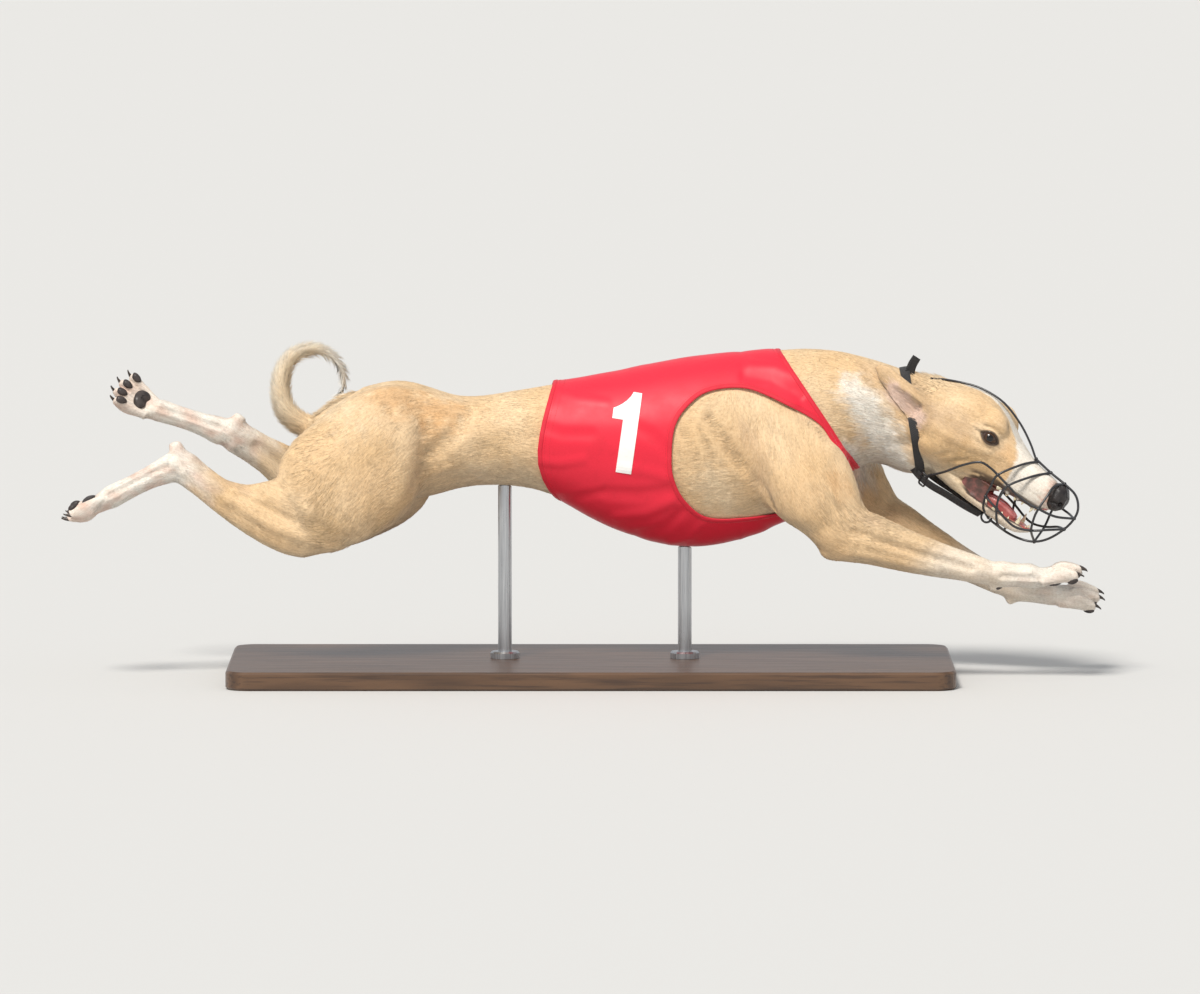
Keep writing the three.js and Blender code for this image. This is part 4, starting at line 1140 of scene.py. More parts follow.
def coat_material(name, strength):
    """Short hair: fine streaks along its lie, in colour and in relief."""
    material, start = new_material(name)
    fine = streaks(start, 0.0011, 0.0013, 5)
    clumps = streaks(start, 0.0042, 0.005, 4)
    patches = noise(places(start), 26.0, 3.0)
    dark = (fine * 0.5 + clumps * 0.5).between(0.54, 0.42)
    coat = attribute(start, "coat")
    shaded = blended(coat, (0.56, 0.47, 0.38), dark * 0.5, "MULTIPLY")
    shaded = blended(shaded, (0.84, 0.78, 0.70), patches.between(0.42, 0.66) * 0.25, "MULTIPLY")
    moist_share = attribute(start, "moist", "Fac")
    rough = fine * 0.2 + 0.62 - moist_share * 0.5
    height = bumped(fine * 0.6 + clumps * 0.4, strength, 0.003)
    finish_material(
        material, Base_Color=shaded, Roughness=rough, Normal=height, Coat_Weight=moist_share * 0.7,
        Coat_Roughness=0.15, Specular_IOR_Level=0.28, Sheen_Weight=0.2, Sheen_Roughness=0.45,
        Sheen_Tint=(1.0, 0.93, 0.82, 1),
    )
    return material


def dressed(ob, material, slot, *stands_for):
    """Gives a piece its material, hangs it under the root and hides the nodes it stands for. The slot is not
    used.
    """
    ob.data.materials.append(material)
    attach(ob, "root")
    if stands_for:
        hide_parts(*stands_for)


# The body's skin is parted under the vest into a rear and a fore piece.
smooth(skin)
smooth(head_skin)
rear_skin = new_piece(skin.data.copy(), "rear_skin")
in_front = read(skin)[:, 0] > sum(SKIN_UNDER_VEST) / 2
keep_vertices(skin, in_front)
keep_vertices(rear_skin, ~in_front)
skin.name = "fore_skin"
skin_coat = coat_material("short_coat_on_skin", 0.5)
dressed(skin, skin_coat, "coat", "neck", "torso", "foreleg_right", "foreleg_left")
dressed(rear_skin, skin_coat, "coat", "hindleg_right", "hindleg_left", "tail")
dressed(head_skin, skin_coat, "coat", "head", "lower_jaw", "ear_right", "ear_left")


# Eye colours
# Wet and dark: a black pupil, a brown iris with fine spokes and a darker edge, and a little of the
# dim white in the corners, all under a clear glossy front.

eye_material, start = new_material("wet_dark_eye")
angle = attribute(start, "from_axis", "Fac")
spokes = noise(places(start), 900.0, 4.0)
iris = blended((0.016, 0.007, 0.003), (0.085, 0.034, 0.011), spokes.between(0.35, 0.65))
edge = angle.between(IRIS_ANGLE - 0.10, IRIS_ANGLE)
iris = blended(iris, (0.012, 0.006, 0.004), edge)
white = blended((0.05, 0.032, 0.028), (0.11, 0.055, 0.045), spokes.between(0.4, 0.7))
outside_pupil = angle.between(PUPIL_ANGLE - 0.03, PUPIL_ANGLE + 0.04)
eye_colour = blended((0.003, 0.002, 0.002), iris, outside_pupil)
eye_colour = blended(eye_colour, white, angle.between(IRIS_ANGLE, IRIS_ANGLE + 0.06))
finish_material(
    eye_material, Base_Color=eye_colour, Roughness=spokes * 0.2 + 0.2, Coat_Weight=1.0, Coat_Roughness=0.02,
    Specular_IOR_Level=0.08,
    Normal=bumped(noise(places(start), 400.0, 1.0), 0.05, 0.0003),
)
for name, eye in zip(SIDES, eyeballs):
    dressed(eye, eye_material, "eye", "eye_" + name)


# Nose
# Bare, damp black leather with fine cells, a groove down its middle and comma shaped nostrils. It
# ends the muzzle and stands a little proud of the hair round it.

NOSE_FORMS = [
    ([(229, 0, 22), (229, 0, 8), (226, 0, -4), (216, 0, -8)], 2.2, -1.0),  # middle groove
    ([(221, 10, 22), (226, 9, 14), (227, 7, 6)], 4, 0.9),  # wing over the nostril
    ([(222, 12, 0), (226, 7, -1)], 3.5, 0.8),
    ([(213, 17, 5), (219, 17, 8), (225, 13, 9)], 3.0, -2.2),  # slit at the side
    ([(226, 9.5, 9), (227, 8, 6)], 4.2, -2.6),  # mouth of the nostril
]


def bare_skin_material(name, dark, light, cell, gloss):
    """Damp or horny bare skin: close cells with fine cracks between them."""
    material, start = new_material(name)
    place = places(start)
    cells = start.node("TexVoronoi", {"feature": "DISTANCE_TO_EDGE"}, {"Vector": place, "Scale": 1 / cell})
    mottled = noise(place, 140.0, 4.0)
    grain = noise(place, 1600.0, 2.0)
    colour = blended(dark, light, mottled.between(0.35, 0.68))
    colour = blended(colour, dark, (1 - cells.between(0.0, 0.18)) * 0.6)
    height = cells.between(0.0, 0.25) * 0.7 + grain * 0.3
    finish_material(
        material, Base_Color=colour, Roughness=mottled * 0.25 + gloss,
        Normal=bumped(height, 0.45, 0.0005), Coat_Weight=mottled.between(0.3, 0.7) * 0.4,
        Coat_Roughness=0.2,
    )
    return material


leather = bare_skin_material("damp_nose_leather", (0.010, 0.007, 0.007), (0.032, 0.022, 0.020), 0.0011, 0.22)
nose = merged(["nose"], "nose_leather")
close_over(nose, 0.0007)
relaxed(nose, 0.8, 22)
press_head(nose, NOSE_FORMS)
relaxed(nose, 0.4, 3)
smooth(nose)
dressed(nose, leather, "nose", "nose")


# Tongue
# A long wet tongue in the lower jaw, with a groove along its middle, curled edges and a velvety
# upper side.

TONGUE_FORMS = [
    ([(110, 0, -34), (150, 0, -30), (184, 0, -36)], 4.5, -1.8),
    ([(120, 8, -36), (150, 9, -33), (178, 8, -37)], 4, 1.0),
]
tongue = merged(["tongue"], "tongue_in_jaw")
close_over(tongue, 0.0009)
relaxed(tongue, 0.8, 14)
press_head(tongue, TONGUE_FORMS)
smooth(tongue)
tongue_material, start = new_material("wet_tongue")
place = places(start)
velvet = start.node("TexVoronoi", {}, {"Vector": place, "Scale": 1500.0})
blotches = noise(place, 90.0, 3.0)
tongue_colour = blended((0.50, 0.115, 0.115), (0.66, 0.24, 0.22), blotches.between(0.35, 0.68))
tongue_colour = blended(tongue_colour, (0.74, 0.34, 0.31), velvet.between(0.5, 0.1) * 0.35)
finish_material(
    tongue_material, Base_Color=tongue_colour, Roughness=blotches * 0.2 + 0.22,
    Normal=bumped(velvet, 0.35, 0.0004), Coat_Weight=blotches * 0.4 + 0.4, Coat_Roughness=0.12,
    Subsurface_Weight=0.15, Subsurface_Radius=(0.004, 0.0015, 0.001), Subsurface_Scale=0.5,
)
dressed(tongue, tongue_material, "tongue", "tongue")


# Teeth
# Curved canines, six small front teeth and pointed cheek teeth in each jaw, with their roots in the
# gums. Each is a cone drawn out, bent and rounded.

# Rows: root in the head's frame, how far it stands out of the gum, half its length along the jaw,
# half its width, and how far its tip leans forwards. All in millimetres; y is for both sides.
LOWER_TEETH = [
    ((189, 11.5, -44), 13.0, 3.4, 2.5, 1.5), ((176, 14.0, -44), 3, 2.2, 1.5, 0.5),
    ((166, 15.5, -44), 3.8, 3.0, 1.6, 0.5), ((154, 17.0, -44), 4.6, 3.6, 1.8, 0.0),
    ((141, 18.5, -43), 5.2, 4.2, 2.0, -0.5), ((199.5, 6.2, -43), 3.6, 1.6, 1.5, 1.5),
    ((201, 3.8, -43), 3.4, 1.4, 1.4, 1.5), ((202, 1.3, -43), 3.2, 1.3, 1.3, 1.5),
]
UPPER_TEETH = [
    ((196, 11.0, -14), -8.0, 3.0, 2.3, 0.5), ((182, 13.5, -17), -1.9, 2.2, 1.5, 0.0),
    ((171, 15.0, -17.5), -2.1, 2.8, 1.6, 0.0), ((159, 16.5, -18), -2.3, 3.4, 1.7, 0.0),
    ((146, 18.0, -18), -2.6, 4.2, 1.9, -0.5), ((206, 6.5, -9.5), -3.4, 1.7, 1.5, 1.0),
    ((209, 4.0, -8.5), -3.0, 1.5, 1.3, 1.0), ((210.5, 1.4, -8.0), -2.9, 1.4, 1.3, 1.0),
]
ROOT_DEPTH = 0.0035


def add_cone(tip):
    """An upright cone on its base, one unit high, cut into small faces."""
    bpy.ops.mesh.primitive_cone_add(vertices=12, radius1=1, radius2=tip, depth=1, location=(0, 0, 0.5))
    bpy.ops.object.transform_apply(location=True, rotation=True, scale=True)
    bpy.ops.object.mode_set(mode="EDIT")
    bpy.ops.mesh.select_all(action="SELECT")
    bpy.ops.mesh.subdivide(number_cuts=3)
    bpy.ops.object.mode_set(mode="OBJECT")
    return bpy.context.object


def add_tooth(root, height, half_length, half_width, lean):
    """A tooth: a cone with its root in the gum, its sides drawn out and its tip bent back."""
    cone = add_cone(0.12)
    points = read(cone)
    share = points[:, 2]
    full = (1 - share**1.7 * 0.85) / np.maximum(1 - 0.88 * share, 0.12)
    points[:, 0] *= half_length / 1000 * full
    points[:, 1] *= half_width / 1000 * full
    points[:, 0] += (lean * share - 0.16 * abs(height) * share**2) / 1000
    points[:, 2] = (share * (abs(height) / 1000 + ROOT_DEPTH) - ROOT_DEPTH) * math.copysign(1, height)
    write(cone, from_head(points + np.array(root) / 1000))
    face_outwards(cone)
    return cone


ivory, start = new_material("tooth_ivory")
place = places(start)
stain = noise(place, 260.0, 3.0)
fine_lines = noise(place, 1800.0, 2.0)
ivory_colour = blended((0.80, 0.72, 0.52), (0.58, 0.42, 0.20), stain.between(0.42, 0.72) * 0.7)
finish_material(
    ivory, Base_Color=ivory_colour, Roughness=stain * 0.2 + 0.16, Coat_Weight=stain * 0.3 + 0.4,
    Normal=bumped(fine_lines, 0.2, 0.0003), Coat_Roughness=0.1,
)
for name, rows in (("teeth_lower", LOWER_TEETH), ("teeth_upper", UPPER_TEETH)):
    cones = []
    for (x, y, z), *measures in rows:
        cones += [add_tooth((x, y * side, z), *measures) for side in BOTH]
    dressed(joined(cones, name), ivory, "coat")


# Inside of the cheeks
# A wet fold of skin on each side joins the jaws behind the lips, and closes the back of the mouth.
# Its free front edge is drawn back in an arc.

CHEEK_X, CHEEK_Y, CHEEK_Z = (100, 150), (23.5, 20.0), (-19, -45)
CHEEK_ARC, CHEEK_HOLLOW, CHEEK_THICKNESS = 15, 3.0, 0.0026
folds = []
for side in BOTH:
    bpy.ops.mesh.primitive_grid_add(x_subdivisions=30, y_subdivisions=20, size=1)
    fold = bpy.context.object
    onward, down = (read(fold)[:, :2] + 0.5).T
    arc = CHEEK_ARC * np.sin(math.pi * np.clip(down, 0, 1)) ** 0.8
    x = CHEEK_X[0] + (CHEEK_X[1] - arc - CHEEK_X[0]) * onward
    y = CHEEK_Y[0] + (CHEEK_Y[1] - CHEEK_Y[0]) * onward - CHEEK_HOLLOW * np.sin(math.pi * down)
    z = CHEEK_Z[0] + (CHEEK_Z[1] - CHEEK_Z[0]) * down
    y -= 0.6 * mottle(np.stack([x, z, 0 * x], axis=1), 14, 97)
    write(fold, from_head(np.stack([x, y * side, z], axis=1) / 1000))
    apply(fold, "SOLIDIFY", thickness=CHEEK_THICKNESS, offset=0.0)
    apply(fold, "SUBSURF", levels=1, render_levels=1)
    face_outwards(fold)
    folds.append(fold)
# The fold's dark brown-red is the wet skin's colour, darkened further as painted shade for the hollow at the
# back of the mouth.
cheek_skin_and_painted_shade, start = new_material("wet_cheek_skin_and_painted_shade")
place = places(start)
blotches = noise(place, 110.0, 4.0)
fine_skin = noise(place, 900.0, 3.0)
finish_material(
    cheek_skin_and_painted_shade, Roughness=blotches * 0.2 + 0.25, Normal=bumped(fine_skin + blotches, 0.4, 0.0008),
    Base_Color=blended((0.085, 0.038, 0.026), (0.26, 0.082, 0.066), blotches.between(0.42, 0.66)),
    Coat_Weight=blotches * 0.4 + 0.3, Coat_Roughness=0.15,
)
dressed(joined(folds, "cheek_folds"), cheek_skin_and_painted_shade, "tongue")


# Claws and pads
# Each toe ends in a blunt, curved dark claw, and has a cushion of rough black horn under it. A larger
# heart shaped pad lies behind the toes, and the front legs carry a small one behind the wrist.

CLAW_LENGTH, CLAW_WIDTH = 0.0122, 0.0035
PAD_MATERIAL = bare_skin_material("horny_pad", (0.020, 0.014, 0.013), (0.070, 0.050, 0.045), 0.0009, 0.5)
claw_material, start = new_material("dark_claw")
horn = noise(places(start), 700.0, 4.0)
finish_material(
    claw_material, Roughness=horn * 0.3 + 0.25, Normal=bumped(horn, 0.3, 0.0003),
    Base_Color=blended((0.018, 0.012, 0.010), (0.13, 0.095, 0.07), horn.between(0.45, 0.75)),
    Coat_Weight=horn * 0.4, Coat_Roughness=0.2,
)


def add_claw(root, direction, up, across):
    """A claw: a cone, bent down towards its blunt tip."""
    claw = add_cone(0.30)
    points = read(claw)
    share = points[:, 2]
    sideways = points[:, 0] * CLAW_WIDTH * 0.8
    upward = points[:, 1] * CLAW_WIDTH * 1.15 + 0.0026 * share - 0.0085 * share**2
    onward = (share - 0.28) * CLAW_LENGTH
    bent = np.stack([sideways, upward, onward], axis=1)
    write(claw, np.array(root) + bent @ np.array([across, up, direction]))
    face_outwards(claw)
    return claw


def add_pad(middle, direction, up, across, sizes, notch=0.0):
    """A pad: a flattened ball, fuller below, drawn in behind where it is heart shaped."""
    bpy.ops.mesh.primitive_ico_sphere_add(subdivisions=4, radius=1)
    pad = bpy.context.object
    ball = read(pad)
    uneven = 1 + 0.05 * mottle(ball, 0.9, 61)
    ball[:, :2] *= uneven[:, None]
    ball *= sizes
    ball[:, 0] += notch * np.exp(-((ball[:, 1] / (sizes[1] * 0.35)) ** 2)) * (ball[:, 0] < 0)
    ball[:, 0] -= notch * 0.8 * (np.abs(ball[:, 1]) / sizes[1]) ** 2
    write(pad, np.array(middle) + (ball / 1000) @ np.array([direction, across, up]))
    face_outwards(pad)
    return pad


for name, paw in PAWS.items():
    ahead, up, across, knuckle = (paw[key] for key in ("ahead", "up", "across", "knuckle"))
    claws, pads = [], []
    for place_of_toe in TOE_PLACES:
        root, direction, length = toe_frame(paw, place_of_toe)
        claws.append(add_claw(root + direction * length * 0.93 + up * -0.001, direction, up, across))
        under = root + direction * length * 0.74 + up * -0.0085
        pads.append(add_pad(under, direction, up, across, (7.4, 5.0, 4.6)))
    heel = knuckle + ahead * 0.006 + up * -0.0095
    pads.append(add_pad(heel, ahead, up, across, (10.5, 14.0, 5.6), 3.0))
    if name.startswith("foreleg"):
        behind = Vector(LEG_LINES[name][2]) + ahead * 0.006 + up * -0.0185
        pads.append(add_pad(behind, ahead, up, across, (7.0, 5.5, 5.0)))
    dressed(joined(claws, "claws_" + name), claw_material, "nose")
    dressed(joined(pads, "pads_" + name), PAD_MATERIAL, "nose")


# Racing vest
# A thin stretch vest, cut from one piece of knitted cloth and drawn over the chest from the foot of
# the neck to the loin. Its edges are bound with a folded strip, and its hems are stitched.

VEST_STATIONS, VEST_ROUND = 176, 216
VEST_FROM, VEST_TO = -0.092, 0.352
VEST_CLEAR, VEST_CLOTH = 0.0012, 0.0011
HEM_LINE = [
    (-30, 520), (-44, 392), (-49.4, 376), (-54.5, 358), (-59.6, 339), (-63.6, 320), (-66, 301), (-65.6, 282),
    (-60, 262), (-52.4, 246), (-40.6, 230), (-25.9, 216), (-10, 204), (6, 195), (16, 60),
]
ARMHOLE = [
    (101, 290), (105, 332), (122, 360), (152, 380), (203, 383), (257, 361), (296, 338), (314, 312),
    (328, 285), (331, 262), (306, 232), (252, 218), (203, 210), (150, 211), (120, 234), (105, 262),
]
NECK_FOOT, NECK_LEAN = np.array((0.298, 0.350)), math.radians(34)
NECK_SHIFT = -0.003
RAY_LENGTH = 0.2
HEM_STEPS = 180
GIRTH_RADIUS = 0.105
# How far the cloth lies over the coat at first, and at the least.
VEST_OVER_COAT, VEST_LEAST = 0.0022, 0.0010
# The hem's two rows of stitches and the neck's one, from the edge, and the row round each armhole.
HEM_ROWS, NECK_ROW, ARMHOLE_ROW, ARMHOLE_ROW_END = (0.012, 0.0055), -0.0065, 1.045, 0.325
STITCH_STEP, STITCH_LENGTH, STITCH_WIDTH = 0.0034, 0.0025, 0.0007
# Folds: line in millimetres on the right side, its reach, and its height.
VEST_FOLDS = [
    ([(196, 378), (226, 374), (262, 358)], 9, 2.4), ([(200, 396), (232, 392), (270, 372)], 10, -2.0),
    ([(206, 410), (240, 406), (268, 392)], 9, 1.6), ([(236, 436), (262, 420), (284, 398)], 9, -1.4),
    ([(100, 300), (78, 322), (52, 334)], 13, -1.6), ([(98, 268), (70, 276), (40, 280)], 11, 1.4),
    ([(100, 250), (64, 244), (20, 246)], 13, -1.8), ([(104, 236), (72, 220), (34, 214)], 10, 1.7),
    ([(118, 222), (96, 200), (60, 190)], 10, -1.8), ([(146, 206), (130, 188), (104, 180)], 9, 1.6),
    ([(-44, 380), (-20, 366), (20, 360)], 11, 1.3), ([(-60, 330), (-36, 322), (0, 322)], 12, -1.3),
    ([(-62, 286), (-40, 284), (-10, 290)], 10, 1.3), ([(-40, 236), (-16, 238), (12, 246)], 10, -1.3),
    ([(250, 216), (280, 206), (300, 214)], 10, 1.6), ([(206, 204), (240, 196), (276, 196)], 10, -1.4),
]

trunk_tree = tree_of(merged(["torso", "neck"], "trunk_form"))
bpy.data.objects.remove(bpy.data.objects["trunk_form"])
stations = np.linspace(VEST_FROM, VEST_TO, VEST_STATIONS)
angles = np.arange(VEST_ROUND) * 2 * math.pi / VEST_ROUND
middle_height = np.interp(stations, TRUNK_LINE[:, 0], TRUNK_LINE[:, 2])
ray_y, ray_z = np.sin(angles), np.cos(angles)


def reach_from_middle(tree):
    """How far a surface lies from the trunk's line, for each station and angle."""
    reach = np.full((VEST_STATIONS, VEST_ROUND), np.nan)
    for s in range(VEST_STATIONS):
        start_at = Vector((stations[s], 0, middle_height[s]))
        for a in range(VEST_ROUND):
            found = tree.ray_cast(start_at, Vector((0, ray_y[a], ray_z[a])), RAY_LENGTH)
            if found[0] is not None:
                reach[s, a] = found[3]
    return reach


def evened_grid(grid, rounds):
    """Smooths along the stations and round the angles."""
    for _ in range(rounds):
        along = grid.copy()
        along[1:-1] = (grid[:-2] + 2 * grid[1:-1] + grid[2:]) / 4
        grid = (np.roll(along, 1, axis=1) + 2 * along + np.roll(along, -1, axis=1)) / 4
    return grid


def grid_of_vectors(x, y, z):
    """A vector for each station and angle, all in one list."""
    return np.stack([v + np.zeros((VEST_STATIONS, VEST_ROUND)) for v in (x, y, z)], axis=-1).reshape(-1, 3)


def vest_places(reach):
    return grid_of_vectors(stations[:, None], ray_y * reach, middle_height[:, None] + ray_z * reach)


trunk_reach = reach_from_middle(trunk_tree)
for row in trunk_reach:
    known = ~np.isnan(row)
    row[:] = np.interp(angles, angles[known], row[known], period=2 * math.pi)
trunk_reach = evened_grid(trunk_reach, 24)
skin_reach = np.nan_to_num(np.fmax(*(reach_from_middle(tree_of(ob)) for ob in (skin, rear_skin))))
vest_reach = trunk_reach + VEST_CLEAR
over_shoulder = 0.012 + 0.030 * smoothly(stations, 0.26, 0.30)[:, None]
lifted = np.minimum(skin_reach + VEST_OVER_COAT, trunk_reach + over_shoulder)
vest_reach = np.maximum(vest_reach, evened_grid(np.maximum(vest_reach, lifted), 3))

outward = grid_of_vectors(0, ray_y, ray_z)
cloth = vest_places(vest_reach)
before = cloth.copy()
for line, radius, height in VEST_FOLDS:
    line = np.array([(x, 0, z) for x, z in line]) / 1000
    for side in BOTH:
        gap = gap_to(cloth * (1, 0, 1), line)
        share = np.clip(1 - (gap * 1000 / radius) ** 2, 0, 1) ** 2 * (cloth[:, 1] * side > 0)
        cloth += outward * (share * height / 1000)[:, None]
cloth += outward * (0.00035 * mottle(cloth * (1, 1, 0.6), 0.05, 71))[:, None]
vest_reach += np.sum((cloth - before) * outward, axis=1).reshape(vest_reach.shape)
vest_reach = evened_grid(vest_reach, 1)
# The cloth never sinks into the coat.
vest_reach = np.maximum(vest_reach, np.minimum(skin_reach + VEST_LEAST, trunk_reach + over_shoulder))


def vest_at(x, angle, over=0.0):
    """A place on the vest's outside, from its station and its angle round the trunk."""
    s = np.clip((x - VEST_FROM) / (VEST_TO - VEST_FROM) * (VEST_STATIONS - 1), 0, VEST_STATIONS - 1.001)
    a = (angle / (2 * math.pi) * VEST_ROUND) % VEST_ROUND
    s0, a0 = int(s), int(a) % VEST_ROUND
    fs, fa, a1 = s - s0, a - int(a), (int(a) + 1) % VEST_ROUND
    near = vest_reach[s0, a0] * (1 - fa) + vest_reach[s0, a1] * fa
    far = vest_reach[s0 + 1, a0] * (1 - fa) + vest_reach[s0 + 1, a1] * fa
    reach = near * (1 - fs) + far * fs + VEST_CLOTH + over
    height = float(np.interp(x, stations, middle_height))
    return np.array((x, math.sin(angle) * reach, height + math.cos(angle) * reach))


def vest_normal(x, angle):
    along = vest_at(x + 0.002, angle) - vest_at(x - 0.002, angle)
    round_it = vest_at(x, angle + 0.02) - vest_at(x, angle - 0.02)
    normal = unit(np.cross(round_it, along))
    return normal if normal @ (0, math.sin(angle), math.cos(angle)) > 0 else -normal


def vest_side(x, z, side, over):
    """A place and normal on the vest, from where it shows in the side view."""
    tries = np.linspace(0.02, math.pi - 0.02, 90)
    heights = np.array([vest_at(x, angle * side, over)[2] for angle in tries])
    angle = float(np.interp(-z, -heights, tries)) * side
    return vest_at(x, angle, over), vest_normal(x, angle)


def hem_x(z):
    line = np.array(HEM_LINE[::-1]) / 1000
    return float(np.interp(z, line[:, 1], line[:, 0]))


def neck_x(z):
    return NECK_FOOT[0] + (NECK_SHIFT - (z - NECK_FOOT[1]) * math.sin(NECK_LEAN)) / math.cos(NECK_LEAN)


def round_line(x_of_z, shift=0.0):
    """The places and normals round the trunk where the vest meets an edge drawn in the side view."""
    found = []
    for k in range(HEM_STEPS):
        angle = 2 * math.pi * k / HEM_STEPS
        x = 0.0
        for _ in range(12):
            x += 0.7 * (x_of_z(vest_at(x, angle)[2]) + shift - x)
        found.append((vest_at(x, angle), vest_normal(x, angle)))
    return np.array(found).transpose(1, 0, 2)


def side_line(outline, side, over):
    """The places and normals of the vest along an outline drawn in the side view."""
    return np.array([vest_side(x, z, side, over) for x, z in outline]).transpose(1, 0, 2)


def smooth_line(places_of_line, count, closed=False):
    """A smooth curve through the places, with this many points for each stretch."""
    p = np.array(places_of_line, float)
    p = np.vstack([p[-1:], p, p[:2]]) if closed else np.vstack([2 * p[0] - p[1], p, 2 * p[-1] - p[-2]])
    found = []
    for k in range(1, len(p) - 2):
        for t in np.arange(count) / count:
            bend = 2 * p[k - 1] - 5 * p[k] + 4 * p[k + 1] - p[k + 2]
            twist = 3 * p[k] - p[k - 1] - 3 * p[k + 1] + p[k + 2]
            found.append(0.5 * (2 * p[k] + (p[k + 1] - p[k - 1]) * t + bend * t**2 + twist * t**3))
    if not closed:
        found.append(p[-2])
    return np.array(found)


def prism(name, outline, y_low, y_high):
    """A closed body over an outline drawn in the side view."""
    shape = bmesh.new()
    face = shape.faces.new([shape.verts.new((x, y_low, z)) for x, z in outline])
    made = bmesh.ops.extrude_face_region(shape, geom=[face])
    moved = [g for g in made["geom"] if isinstance(g, bmesh.types.BMVert)]
    bmesh.ops.translate(shape, verts=moved, vec=(0, y_high - y_low, 0))
    return piece_from(shape, name)


def grid_faces(rows, count):
    """Four-cornered faces between rows of points that close into rings."""
    return [
        (r * count + k, r * count + (k + 1) % count, (r + 1) * count + (k + 1) % count, (r + 1) * count + k)
        for r in range(rows - 1)
        for k in range(count)
    ]


vest = piece_of("vest", vest_places(vest_reach).tolist(), grid_faces(VEST_STATIONS, VEST_ROUND))
face_outwards(vest)
girth = np.minimum(angles, 2 * math.pi - angles) * GIRTH_RADIUS
set_vectors(vest, "weave", grid_of_vectors(stations[:, None], girth, 0))
sample = VEST_ROUND * 80
turned_out = read(vest, "normal")[sample] @ outward[sample] > 0
apply(vest, "SOLIDIFY", thickness=VEST_CLOTH, offset=1.0 if turned_out else -1.0)
hem_outline = [(-0.5, 0.52)] + [(x / 1000, z / 1000) for x, z in HEM_LINE] + [(-0.5, 0.06)]
neck_outline = [(neck_x(0.56), 0.56), (neck_x(0.05), 0.05), (0.9, 0.05), (0.9, 0.56)]
armhole_line = smooth_line(ARMHOLE, 6, closed=True) / 1000
# Each cut: an outline in the side view, and how far it reaches across the dog.
cuts = [
    (hem_outline, -0.3, 0.3), (neck_outline, -0.3, 0.3),
    (armhole_line, -0.2, -0.035), (armhole_line, 0.035, 0.2),
]
for cut in cuts:
    cutter = prism("cutter", *cut)
    apply(vest, "BOOLEAN", object=cutter, operation="DIFFERENCE", solver="EXACT")
    bpy.data.objects.remove(cutter)
smooth(vest)

EDGING_WIDTH, EDGING_THICKNESS = 0.0062, 0.0024
# A strip's section: across in half widths, and up in half thicknesses.
BAND_SECTION = [
    (-1, 0), (-0.93, 0.8), (-0.6, 1), (0, 1.06), (0.6, 1), (0.93, 0.8), (1, 0), (0.93, -0.8), (0, -1),
    (-0.93, -0.8),
]


def travelled_along(line):
    return np.concatenate([[0], np.cumsum(np.linalg.norm(np.diff(line, axis=0), axis=1))])


def add_band(name, line, normals, width, thickness, closed=False):
    """A strip of folded or woven stuff along a line, with rounded edges."""
    count = len(line)
    ahead = np.roll(line, -1, axis=0) - np.roll(line, 1, axis=0)
    if not closed:
        ahead[0], ahead[-1] = line[1] - line[0], line[-1] - line[-2]
    ahead = unit(ahead)
    up = unit(normals - ahead * np.sum(normals * ahead, axis=1, keepdims=True))
    across = np.cross(up, ahead)
    rings = [line + across * u * width / 2 + up * v * thickness / 2 for u, v in BAND_SECTION]
    sides = len(BAND_SECTION)
    faces = grid_faces(count, sides)
    start = (count - 1) * sides
    if closed:
        faces += [(start + k, start + (k + 1) % sides, (k + 1) % sides, k) for k in range(sides)]
    else:
        faces += [tuple(range(sides)), tuple(range(start, start + sides))[::-1]]
    band = piece_of(name, np.stack(rings, axis=1).reshape(-1, 3).tolist(), faces)
    face_outwards(band)
    weave = np.zeros((count, sides, 3))
    weave[..., 0] = travelled_along(line)[:, None]
    weave[..., 1] = np.array([u for u, _ in BAND_SECTION]) * width / 2
    set_vectors(band, "weave", weave.reshape(-1, 3))
    return band


armhole_edge = smooth_line(ARMHOLE, 8, closed=True) / 1000
edge_lines = [side_line(armhole_edge, side, -VEST_CLOTH / 2) for side in BOTH]
for x_of_z in (hem_x, neck_x):
    line, normals = round_line(x_of_z)
    edge_lines.append((line - normals * VEST_CLOTH / 2, normals))
edgings = [add_band("edging", *edge, EDGING_WIDTH, EDGING_THICKNESS, closed=True) for edge in edge_lines]
edging = joined(edgings, "vest_edging")


def add_stitches(name, lines, step, length, width):
    """Stitches: small drawn out grains of thread, one after another along the lines."""
    grain = np.array([(-1, 0, 0), (1, 0, 0), (0, 1, 0), (0, -1, 0), (0, 0, 1), (0, 0, -1)], float)
    grain_faces = [(0, 4, 3), (0, 3, 5), (0, 5, 2), (0, 2, 4), (1, 3, 4), (1, 5, 3), (1, 2, 5), (1, 4, 2)]
    corners, faces = [], []
    for line, normals in lines:
        travelled = travelled_along(line)
        for at in np.arange(step / 2, travelled[-1], step):
            place = np.array([np.interp(at, travelled, line[:, k]) for k in range(3)])
            onward = np.array([np.interp(at + 0.001, travelled, line[:, k]) for k in range(3)]) - place
            if np.linalg.norm(onward) < 1e-6:
                continue
            up = normals[min(int(np.searchsorted(travelled, at)), len(normals) - 1)]
            turned = np.stack([unit(onward), unit(np.cross(up, onward)), up])
            faces.append(np.array(grain_faces) + 6 * len(corners))
            corners.append(place + (grain * (length / 2, width / 2, width / 2)) @ turned)
    return piece_of(name, np.concatenate(corners).tolist(), np.concatenate(faces).tolist())


stitch_lines = [*(round_line(hem_x, row) for row in HEM_ROWS), round_line(neck_x, NECK_ROW)]
armhole_middle = armhole_line.mean(axis=0)
wider = armhole_middle + (armhole_edge - armhole_middle) * ARMHOLE_ROW
stitch_lines += [side_line(wider[wider[:, 0] < ARMHOLE_ROW_END], side, 0.0) for side in BOTH]
stitches = add_stitches("vest_stitches", stitch_lines, STITCH_STEP, STITCH_LENGTH, STITCH_WIDTH)


